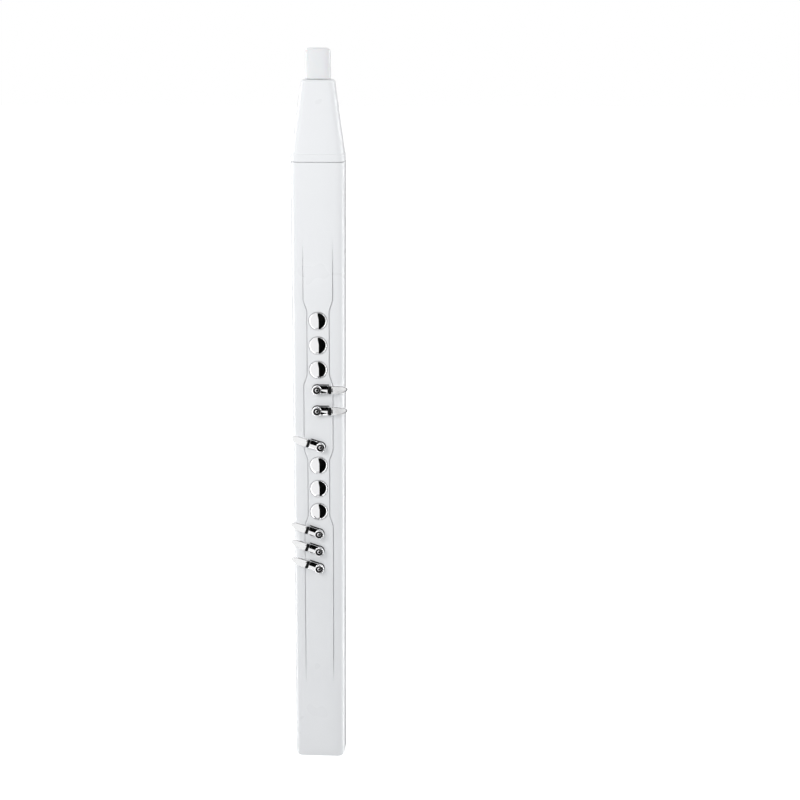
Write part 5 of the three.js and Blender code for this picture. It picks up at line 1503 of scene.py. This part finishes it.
# Across and height round the spoon's section, as shares of its half-width and in millimetres
SPOON_CORNERS = (
    (0.98, 0.25), (0.83, 1.02), (0.0, 1.2), (-0.86, 1.02), (-0.99, 0.35), (-0.99, -0.2), (-0.8, -0.8),
    (0.8, -0.8), (0.99, -0.2),
)
SPOON_SOFT = (0.05, 0.06, 0.5, 0.08, 0.08, 0.1, 0.1, 0.1, 0.1)
SPOON_HEIGHT = 2.4
SPOON_SLOPE = 0.7
SPOON_LIFT = 0.9
SPOON_SWEEP = 1.3
HEEL_SHARES = (0.0, 0.0, 0.012, 0.03)
HEEL_WIDTHS = (0.72, 0.86, 0.96, 1.0)
TIP_SHARES = (0.94, 0.97, 0.985, 0.995, 1.0)
TIP_POWER = 2.5
TIP_FILL = 0.985
SPOON_SHARP = 50.0


def spoon_mesh():
    """Rings along X. The width is the root of one minus the share to a power, so that it stays
    full for most of the length and closes in a round tip. Each ring is a flat crown with a
    sloped upper edge. The whole rises by a slope and by the cubed share, and sweeps to one
    side with the squared share."""
    share = np.concatenate([HEEL_SHARES, np.linspace(0.06, 0.9, 18), TIP_SHARES])
    grow = np.concatenate([HEEL_WIDTHS, np.ones(len(share) - len(HEEL_WIDTHS))])
    taper = np.sqrt(np.maximum(1 - share**TIP_POWER * TIP_FILL, 0.0)) * grow
    thin = (0.55 + 0.45 * taper) * np.minimum(grow + 0.1, 1.0)
    across, high = soften(SPOON_CORNERS, SPOON_SOFT, 5, True).T
    middle = SPOON_HEIGHT + SPOON_SLOPE * share + SPOON_LIFT * share**3
    sweep = SPOON_SWEEP * share**2
    rings = np.stack([
        np.repeat((SPOON_START + (SPOON_END - SPOON_START) * share)[:, None], len(across), 1),
        middle[:, None] + thin[:, None] * high[None],
        SPOON_HALF * taper[:, None] * across[None] + sweep[:, None],
    ], -1)
    return make_mesh("spoon", rings, capped(rings), SPOON_SHARP)


spoon = spoon_mesh()
print("spoon faces:", len(spoon.polygons))

# %% Tongue and collar
TONGUE_HALF = 1.6
TONGUE_GAP = 0.35
TONGUE_BELOW = 1.1
TONGUE_ABOVE = 0.7
TONGUE_OVERLAP = 1.5
COLLAR_HALF = (2.25, 3.35)
COLLAR_POWER = 0.8
COLLAR_SHIFT = 0.15
COLLAR_LIFT = 0.05
COLLAR_EDGE = 0.35
COLLAR_COLUMNS = 40


def lever_mesh():
    """The spoon joined to a round-edged tongue that sits in the fork."""
    tongue = box_mesh(
        "tongue",
        [BARREL_LENGTH - FORK_DEPTH + TONGUE_GAP, PIVOT_HEIGHT - TONGUE_BELOW, -TONGUE_HALF],
        [SPOON_START + TONGUE_OVERLAP, PIVOT_HEIGHT + TONGUE_ABOVE, TONGUE_HALF],
    )
    return combine("lever", spoon, [finished(tongue, 0.3, 3)], "UNION")


def collar_mesh():
    """The black collar between barrel and spoon: an oval disc with rounded edges, along X. Its
    half-width is a signed power of the cosine, which fills the oval's corners."""
    angle = np.linspace(0, 2 * np.pi, COLLAR_COLUMNS, endpoint=False)
    cosine = np.cos(angle)
    high, wide = COLLAR_HALF
    outline = np.stack([
        high * np.sin(angle),
        wide * np.sign(cosine) * np.abs(cosine) ** COLLAR_POWER,
    ], -1)
    start, end = BARREL_LENGTH + COLLAR_SHIFT, SPOON_START + COLLAR_SHIFT
    rings = plate_rings(outline, start, end, COLLAR_EDGE)
    height = rings[..., 0] + PIVOT_HEIGHT + COLLAR_LIFT
    points = np.stack([rings[..., 2], height, rings[..., 1]], -1)
    return make_mesh("collar", points, capped(points), SPOON_SHARP)


lever = finished(lever_mesh(), sharp=SPOON_SHARP)
collar = collar_mesh()
print("lever faces:", len(lever.polygons), "collar faces:", len(collar.polygons))

# %% Screws
CROSS_SHARE = 0.36
HEAD_BEND_SHARE = 0.35
HEAD_CROWN_SHARE = 0.62
SCREW_SOFT = (0.0, 0.1, 0.05, 0.12, 0.3, 0.3, 0.0)
SCREW_OVERRUN = 1.0


def screw_mesh(head, height, top, shank, foot, recess, deep, sides):
    """A turned screw with a domed head, and a recess of straight sides cut into it: a hexagon,
    or a cross of two bars."""
    under = top - height
    profile = soften([
        [0, foot], [shank, foot], [shank, under], [head, under],
        [head, top - height * HEAD_BEND_SHARE], [head * HEAD_CROWN_SHARE, top], [0, top],
    ], SCREW_SOFT, 5)
    body = turned_y("screw", profile, 40)
    floor, above = top - deep, top + SCREW_OVERRUN
    if sides == 6:
        tools = [turned_y("hex", [[0, floor], [recess, floor], [recess, above], [0, above]], 6)]
    else:
        long, thin = recess, recess * CROSS_SHARE
        tools = [
            box_mesh("cross_a", [-long, floor, -thin], [long, above, thin]),
            box_mesh("cross_b", [-thin, floor, -long], [thin, above, long]),
        ]
    return combine("screw_cut", body, tools, "DIFFERENCE")

# %% Side key screw
SCREW_HEIGHT = 1.4
SCREW_LIFT = 0.2
SCREW_SHANK = 1.1
SCREW_FOOT = -2.4
HEX_DEPTH = 1.1

side_screw = finished(screw_mesh(
    SCREW_HEAD, SCREW_HEIGHT, SEAT_FLOOR + SCREW_LIFT + SCREW_HEIGHT,
    SCREW_SHANK, SCREW_FOOT, HEX_REACH, HEX_DEPTH, 6,
), 0.06, 2)
print("screw faces:", len(side_screw.polygons))

# %% All six side keys in place
# For each piece its kind, mesh and finish, whether it swings with the lever, its slot, and
# the kind of CAD node that it stands for
SIDE_KEY_PIECES = (
    ("barrel", mount, chrome, False, "chrome", "side_key_mount"),
    ("spoon", lever, satin_steel, True, "steel", "side_key"),
    ("collar", collar, black_inner_and_shade, True, "black_case", None),
    ("shadow_rim", shadow_rim, black_inner_and_shade, False, "black_case", None),
    ("washer_and_shade", washer_and_shade, black_inner_and_shade, False, "black_case", None),
    ("bolt", side_screw, chrome, False, "chrome", "side_key_screw"),
)


def placed(name, mesh, index):
    """A copy of a mesh made in a side key's own frame, set in its place. The keys on the right
    are mirrored across, so that every spoon sweeps upwards, and their faces turned back."""
    copy = mesh.copy()
    copy.name = name
    local = points_of(copy)
    mirrored = KEY_TILTS[index][0] > 0
    if mirrored:
        local = local * [1, 1, -1]
    set_points(copy, into_frame(local, index))
    if mirrored:
        copy.flip_normals()
    return copy


for k in range(6):
    for kind, mesh, material, swings, slot, stands_for in SIDE_KEY_PIECES:
        name = f"side_key_{kind}_{k + 1}"
        body = f"side_key_{k + 1}" if swings else "case"
        nodes = [f"{stands_for}_{k + 1}"] if stands_for else ()
        show(name, placed(name, mesh, k), material, body, nodes)
print("side keys placed:", len(KEY_TILTS))

# %% [markdown]
# ## The black rear shell
#
# The back is the busiest moulding: three raised blocks with sloped ends, a groove down each
# side, and an opening for every control. Its shape is already in the CAD solid, so a merged
# copy of it is used, and every edge gets the small radius that a real moulding has. These
# radii matter: they are the thin bright lines that draw the black shapes on black.

# %% Rear shell
REAR_EDGE = 0.3
REAR_EDGE_ANGLE = 24.0
REAR_SHARP = 30.0
SIDE_REACH = 0.08
SIDE_START = 21.0
SIDE_BLEND = 0.9


def rear_shell_mesh():
    """The bevelled copy. Its two side walls are moved out by SIDE_REACH, so that a hairline of
    black shows past the white half, as it does where two mouldings meet. The points stay in
    metres here, because a change of unit and back would round the large flat faces."""
    mesh = finished(merged_copy("rear_shell"), REAR_EDGE, 2, REAR_EDGE_ANGLE, REAR_SHARP)
    flat = np.zeros(len(mesh.vertices) * 3, np.float32)
    mesh.vertices.foreach_get("co", flat)
    points = flat.reshape(-1, 3)
    at_side = np.clip((np.abs(points[:, 0]) / MM - SIDE_START) / SIDE_BLEND, 0, 1)
    points[:, 0] += np.sign(points[:, 0]) * at_side * SIDE_REACH * MM
    mesh.vertices.foreach_set("co", points.ravel())
    mesh.name = "rear_shell_skin"
    return mesh


rear_mesh = rear_shell_mesh()
show("rear_shell_skin", rear_mesh, black_case, "case", ["rear_shell"])
print("rear shell faces:", len(rear_mesh.polygons))

# %% [markdown]
# The battery cover, the grille and the roller cradle are separate mouldings in the same
# plastic. They get the same treatment with finer edges. The grille's edges stay as they are,
# because a radius on the rim of each small hole would not be seen.

# %% Rear mouldings
# For each moulding its node, the body that it rides on, and the width of its edges
REAR_MOULDINGS = (
    ("battery_cover", "battery_cover", 0.25),
    ("speaker_grille", "case", None),
    ("roller_cradle", "case", 0.2),
)


def dressed_copy(node, width):
    """A merged copy of a CAD node, with rounded edges where a width is given."""
    mesh = finished(merged_copy(node, bool(width)), width, 2, REAR_EDGE_ANGLE, REAR_SHARP)
    mesh.name = f"{node}_skin"
    return mesh


for node, body, width in REAR_MOULDINGS:
    mesh = dressed_copy(node, width)
    show(mesh.name, mesh, black_case, body, [node])
print("rear mouldings dressed:", len(REAR_MOULDINGS))

# %% [markdown]
# ## Display and buttons
#
# The display is a flush pane with a fine chamfer, so a plate in the node's place is enough.
# Each button is a small grey disc with a scalloped edge and a ring of bright teeth, in its
# own shallow dish, whose lip catches the light. The scallops could be cut out one by one.
# Here they are a cosine added to the radius of a turned profile, which takes one line and
# keeps the skin whole. The teeth are a thin ring whose height goes up and down in the same
# way, so that only its crests stand out of the cap.

# %% Display window
pane = plate_mesh("display_pane", "display_window", 1.0, 0.25)
show("display_pane", pane, dark_window, "case", ["display_window"])
print("display pane faces:", len(pane.polygons))

# %% Function buttons
BUTTON_RADIUS = 3.5
BUTTON_NECK = 3.3
BUTTON_LOBES = 16
BUTTON_LOBE = 0.2
BUTTON_COLUMNS = 120
BUTTON_STEM = 1.4
BUTTON_FLANGE = 4.75
BUTTON_FLANGE_DEPTHS = (15.3, 16.0)
BUTTON_EDGE_DEPTH = 18.0
BUTTON_RIM = ((2.55, 0.0), (2.25, 0.28), (0.0, 0.2))
BUTTON_SOFT = (0, 0.1, 0.1, 0.1, 0.1, 0.1, 0.1, 0.3, 0.15, 0.2, 0)
LOBE_START = 2.3
LOBE_BLEND = 1.2
LOBE_DEPTH = 16.2


def button_mesh(name, node):
    """Rings round Y: stem, flange, then the scalloped cap with a rounded edge, a raised rim
    and a slightly dished top. The scallops are a cosine added to the radius."""
    low, high = box_of(node)
    middle = centre_of(node)
    back, front = BUTTON_FLANGE_DEPTHS
    profile = soften([
        [0, low[1]], [BUTTON_STEM, low[1]], [BUTTON_STEM, back], [BUTTON_FLANGE, back],
        [BUTTON_FLANGE, front], [BUTTON_NECK, front], [BUTTON_NECK, BUTTON_EDGE_DEPTH],
        [BUTTON_RADIUS, high[1]], *[[radius, high[1] - drop] for radius, drop in BUTTON_RIM],
    ], BUTTON_SOFT, 5)
    radius, depth = profile[:, :1], profile[:, 1:]
    angle = np.linspace(0, 2 * np.pi, BUTTON_COLUMNS, endpoint=False)
    on_cap = np.clip((radius - LOBE_START) / LOBE_BLEND, 0, 1) * (depth > LOBE_DEPTH)
    lobed = radius + BUTTON_LOBE * on_cap * (np.cos(BUTTON_LOBES * angle)[None] - 1)
    points = np.stack([
        middle[0] + lobed * np.cos(angle),
        np.repeat(depth, BUTTON_COLUMNS, 1),
        middle[2] + lobed * np.sin(angle),
    ], -1)
    faces = grid_faces(len(profile), BUTTON_COLUMNS, wrap_columns=True)
    return make_mesh(name, points, faces, SOFT_SHARP)


print("a button's radius and lobes:", BUTTON_RADIUS, BUTTON_LOBES)

# %% Teeth and lips
TEETH_RADIUS = 3.08
TEETH_SIZE = 0.18
TEETH_WAVE = 0.22
TEETH_DEPTH = 0.24
TEETH_COUNT = 11
TEETH_GRID = (160, 8)
LIP_RADIUS = 5.95
LIP_SIZE = 0.24
LIP_POINTS = 15
BLOCK_FACE = 18.5
THIN_SHARP = 60.0


def teeth_mesh(name, node):
    """The bright teeth round a button: a small circle carried round the axis, whose height
    rises and falls with a cosine, so that only its crests stand out of the cap."""
    middle = centre_of(node)
    ground = box_of(node)[1][1] - TEETH_DEPTH
    rows, columns = TEETH_GRID
    turn = np.linspace(0, 2 * np.pi, rows, endpoint=False)[:, None]
    angle = np.linspace(0, 2 * np.pi, columns, endpoint=False)[None]
    radius = TEETH_RADIUS + TEETH_SIZE * np.cos(angle)
    height = ground + TEETH_WAVE * np.cos(TEETH_COUNT * turn) + TEETH_SIZE * np.sin(angle)
    points = np.stack([
        middle[0] + radius * np.cos(turn),
        height,
        middle[2] + radius * np.sin(turn),
    ], -1)
    return make_mesh(name, points, grid_faces(rows, columns, True, True), THIN_SHARP)


def lip_mesh(name, node):
    """A fine raised lip round a button's dish: a small circle turned round the button's axis,
    half sunk into the block."""
    angle = np.linspace(0, 2 * np.pi, LIP_POINTS)
    circle = np.stack([
        LIP_RADIUS + LIP_SIZE * np.cos(angle),
        BLOCK_FACE + LIP_SIZE * np.sin(angle),
    ], -1)
    points, faces = revolved(circle, ROUND_COLUMNS)
    return make_mesh(name, to_axis(points, "y") + centre_of(node) * [1, 0, 1], faces, THIN_SHARP)


for k in range(1, 7):
    node = f"function_button_{k}"
    cap, teeth, lip = f"button_cap_{k}", f"button_teeth_{k}", f"button_lip_{k}"
    show(cap, button_mesh(cap, node), grey_button, node, [node])
    show(teeth, teeth_mesh(teeth, node), strip_steel, node)
    show(lip, lip_mesh(lip, node), dark_lip, "case")
print("teeth on each button:", TEETH_COUNT)

# %% [markdown]
# ## Rollers and thumb strips
#
# Six plated rollers lie across the thumb's path, with a satin strip at each side. A roller
# is a turned profile with soft ends, because only a true round mirrors in straight bands. A
# strip is a narrow plate with rounded edges, raised from a black bed that fills the slot it
# lies in.

# %% Rollers and strips
ROLLER_RADIUS = 3.5
ROLLER_HALF = 6.15
TRUNNION_RADIUS = 1.1
ROLLER_SOFT = (0, 0.25, 0.1, 0.45, 0.45, 0.1, 0.25, 0)
STRIP_CORNER = 0.9
STRIP_EDGE = 0.3
STRIP_INSET = 0.75
STRIP_RISE = 0.35


def roller_mesh(name, node):
    """A profile turned round X: a trunnion, the drum with soft ends, and a trunnion."""
    end = box_of(node)[1][0]
    profile = soften([
        [0, -end], [TRUNNION_RADIUS, -end], [TRUNNION_RADIUS, -ROLLER_HALF],
        [ROLLER_RADIUS, -ROLLER_HALF], [ROLLER_RADIUS, ROLLER_HALF],
        [TRUNNION_RADIUS, ROLLER_HALF], [TRUNNION_RADIUS, end], [0, end],
    ], ROLLER_SOFT, 6)
    points, faces = revolved(profile, ROUND_COLUMNS)
    return make_mesh(name, to_axis(points, "x") + centre_of(node) * [0, 1, 1], faces, SOFT_SHARP)


for k in range(1, 7):
    name, node = f"roller_{k}", f"octave_roller_{k}"
    show(name, roller_mesh(name, node), chrome, node, [node])

for side in ("left", "right"):
    node = f"thumb_plate_{side}"
    strip = plate_mesh(f"thumb_strip_{side}", node, STRIP_CORNER, STRIP_EDGE, STRIP_INSET)
    show(strip.name, strip, strip_steel, "case", [node])
    bed = plate_mesh(f"strip_bed_{side}", node, STRIP_CORNER, STRIP_EDGE, drop=STRIP_RISE)
    show(bed.name, bed, black_case, "case")
print("rollers and strips placed")

# %% [markdown]
# ## Thumb hook
#
# One casting: an eyelet for the neck strap, a neck, a plate with two screws, and a hook that
# curls away from the back for the thumb to push against. The CAD solid already has this
# shape, so a merged copy of it gets soft edges, which the polished black needs to be seen.
# Two domed screws hold it. Dark bars at the floor of each cross are painted shade, which keeps
# the recess from shining.

# %% Hook casting
HOOK_EDGE = 0.4

hook = finished(merged_copy("thumb_hook"), HOOK_EDGE, 3, 20.0, 36.0)
show("thumb_hook_cast", hook, hook_gloss, "case", ["thumb_hook"])
print("hook faces:", len(hook.polygons))

# %% Hook screws
HOOK_SCREW_HEAD = 2.0
HOOK_SCREW_HEIGHT = 1.2
HOOK_SCREW_SHANK = 1.1
CROSS_REACH = 1.4
CROSS_DEPTH = 0.8
# Where the dark bars of painted shade sit in each cross, and their clearance.
CROSS_ROOF = 0.3
CROSS_ROOM = 0.03


def cross_shade_mesh(name, node):
    """Painted shade for a screw's cross: two flat dark bars that lie across each other at the floor of its
    recess.
    """
    middle, top = centre_of(node), box_of(node)[1][1]
    long, thin = CROSS_REACH - CROSS_ROOM, CROSS_REACH * CROSS_SHARE - CROSS_ROOM
    bars = []
    for wide, tall in ((long, thin), (thin, long)):
        low = [middle[0] - wide, top - CROSS_DEPTH, middle[2] - tall]
        high = [middle[0] + wide, top - CROSS_ROOF, middle[2] + tall]
        bars.append(box_mesh(name, low, high))
    return combine(name, bars[0], bars[1:], "UNION")


def hook_screw(name, node):
    """A domed cross-head screw along Y, set at its node."""
    low, high = box_of(node)
    blank = screw_mesh(
        HOOK_SCREW_HEAD, HOOK_SCREW_HEIGHT, high[1], HOOK_SCREW_SHANK, low[1],
        CROSS_REACH, CROSS_DEPTH, 4,
    )
    return finished(moved_copy(name, blank, centre_of(node) * [1, 0, 1]), 0.05, 2)


for place in ("upper", "lower"):
    node = f"hook_screw_{place}"
    bolt, cross = f"hook_bolt_{place}", f"hook_cross_{place}"
    show(bolt, hook_screw(bolt, node), dull_nickel, "case", [node])
    show(cross, cross_shade_mesh(cross, node), black_inner_and_shade, "case")
print("hook screws placed")

# %% [markdown]
# ## Bend wheel
#
# A plated sector under the thumb. Only its curved face shows in the window, so the face gets
# many narrow facets and soft rims, and the web and axle stay simple. A whole wheel would look
# the same from outside, but it would not fit in the depth of the case.

# %% Bend wheel
WHEEL_RADIUS = 17.6
WHEEL_RIM = 2.5
WHEEL_HALF = 8.65
WHEEL_SOFT = (0.2, 0.2, 0.6, 0.6)
WHEEL_COLUMNS = 80
WHEEL_SPREAD = math.radians(57.0)
WHEEL_AXIS = (-2.2, 242.6)
WEB_INSET = 0.4
WEB_HALF = 3.0
WEB_DROP = 1.2
HUB_RADIUS = 3.2
HUB_INSET = 0.2
AXLE_RADIUS = 1.5
AXLE_EDGE = 0.2
AXLE_COLUMNS = 36


def wheel_rim():
    """An arc of rings: a flattened section with rounded corners, carried round the axle."""
    half = WHEEL_HALF
    section_corners = np.array([[-half, -WHEEL_RIM], [half, -WHEEL_RIM], [half, 0], [-half, 0]])
    ring = soften(section_corners, WHEEL_SOFT, 6, True)
    angle = np.linspace(-WHEEL_SPREAD, WHEEL_SPREAD, WHEEL_COLUMNS)
    radius = WHEEL_RADIUS + ring[:, 1]
    points = np.stack([
        np.repeat(ring[None, :, 0], len(angle), 0),
        WHEEL_AXIS[0] + radius[None] * np.cos(angle)[:, None],
        WHEEL_AXIS[1] + radius[None] * np.sin(angle)[:, None],
    ], -1)
    return make_mesh("wheel_rim", points, capped(points), SOFT_SHARP)


def on_axle(name, profile):
    """A profile turned round the wheel's axle."""
    points, faces = revolved(profile, AXLE_COLUMNS)
    return make_mesh(name, to_axis(points, "x") + np.array([0, *WHEEL_AXIS]), faces)


def wheel_mesh():
    """The rim with a web, a hub and an axle joined to it."""
    rim = wheel_rim()
    depth, height = WHEEL_AXIS
    wide = WHEEL_HALF - WEB_INSET
    web = box_mesh(
        "web",
        [-wide, depth, height - WEB_HALF],
        [wide, depth + WHEEL_RADIUS - WEB_DROP, height + WEB_HALF],
    )
    low, high = box_of("bend_wheel")
    axle_corners = [[0, low[0]], [AXLE_RADIUS, low[0]], [AXLE_RADIUS, high[0]], [0, high[0]]]
    axle = on_axle("axle", soften(axle_corners, [0, AXLE_EDGE, AXLE_EDGE, 0], 4))
    end = WHEEL_HALF - HUB_INSET
    hub = on_axle("hub", [[0, -end], [HUB_RADIUS, -end], [HUB_RADIUS, end], [0, end]])
    return combine("bend_wheel_skin", rim, [web, hub, axle], "UNION")


wheel = wheel_mesh()
smooth_by_angle(wheel, SOFT_SHARP)
show("bend_wheel_skin", wheel, chrome, "bend_wheel", ["bend_wheel"])
print("bend wheel faces:", len(wheel.polygons))

# %% [markdown]
# ## Casing screws
#
# Ten small dark screws sit at the bottom of the pockets down both edges and hold the two
# halves together. They are all alike, so one is made and the others are moved copies of it.

# %% Casing screws
POCKET_HEIGHTS = (526.9, 429.8, 334.1, 221.2, 16.5)
POCKET_ACROSS = 17.9
POCKET_FLOOR = 5.5
CASING_HEAD = 1.85
CASING_HEIGHT = 1.0
CASING_LIFT = 1.05
CASING_SHANK = 0.9
CASING_SUNK = 0.6
CASING_RECESS = (1.1, 0.55)

casing_screw = screw_mesh(
    CASING_HEAD, CASING_HEIGHT, POCKET_FLOOR + CASING_LIFT,
    CASING_SHANK, POCKET_FLOOR - CASING_SUNK, *CASING_RECESS, 4,
)
pockets = [(side * POCKET_ACROSS, 0, height) for height in POCKET_HEIGHTS for side in (-1, 1)]
for index, pocket in enumerate(pockets, 1):
    copy = moved_copy(f"casing_screw_{index}", casing_screw, pocket)
    smooth_by_angle(copy)
    show(copy.name, copy, black_oxide, "case")
print("casing screws:", len(pockets))

# %% [markdown]
# ## What shows of the inside
#
# The boards, the cell, the loudspeaker, the sensor and the sockets keep their CAD shapes,
# because little of them is seen, and take their own finishes in the slots they have.

# %% Finishes for the CAD nodes that stay
KEPT = {
    "display_module": board, "main_board": board, "key_board": board,
    "breath_sensor": grey_plastic, "breath_pipe": clear_pipe, "battery": cell_wrap,
    "speaker": paper_cone, "usb_socket": satin_steel, "phone_socket": black_inner_and_shade,
}
for node, material in KEPT.items():
    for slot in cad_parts[node].material_slots:
        slot.material = material
print("kept nodes:", len(KEPT))
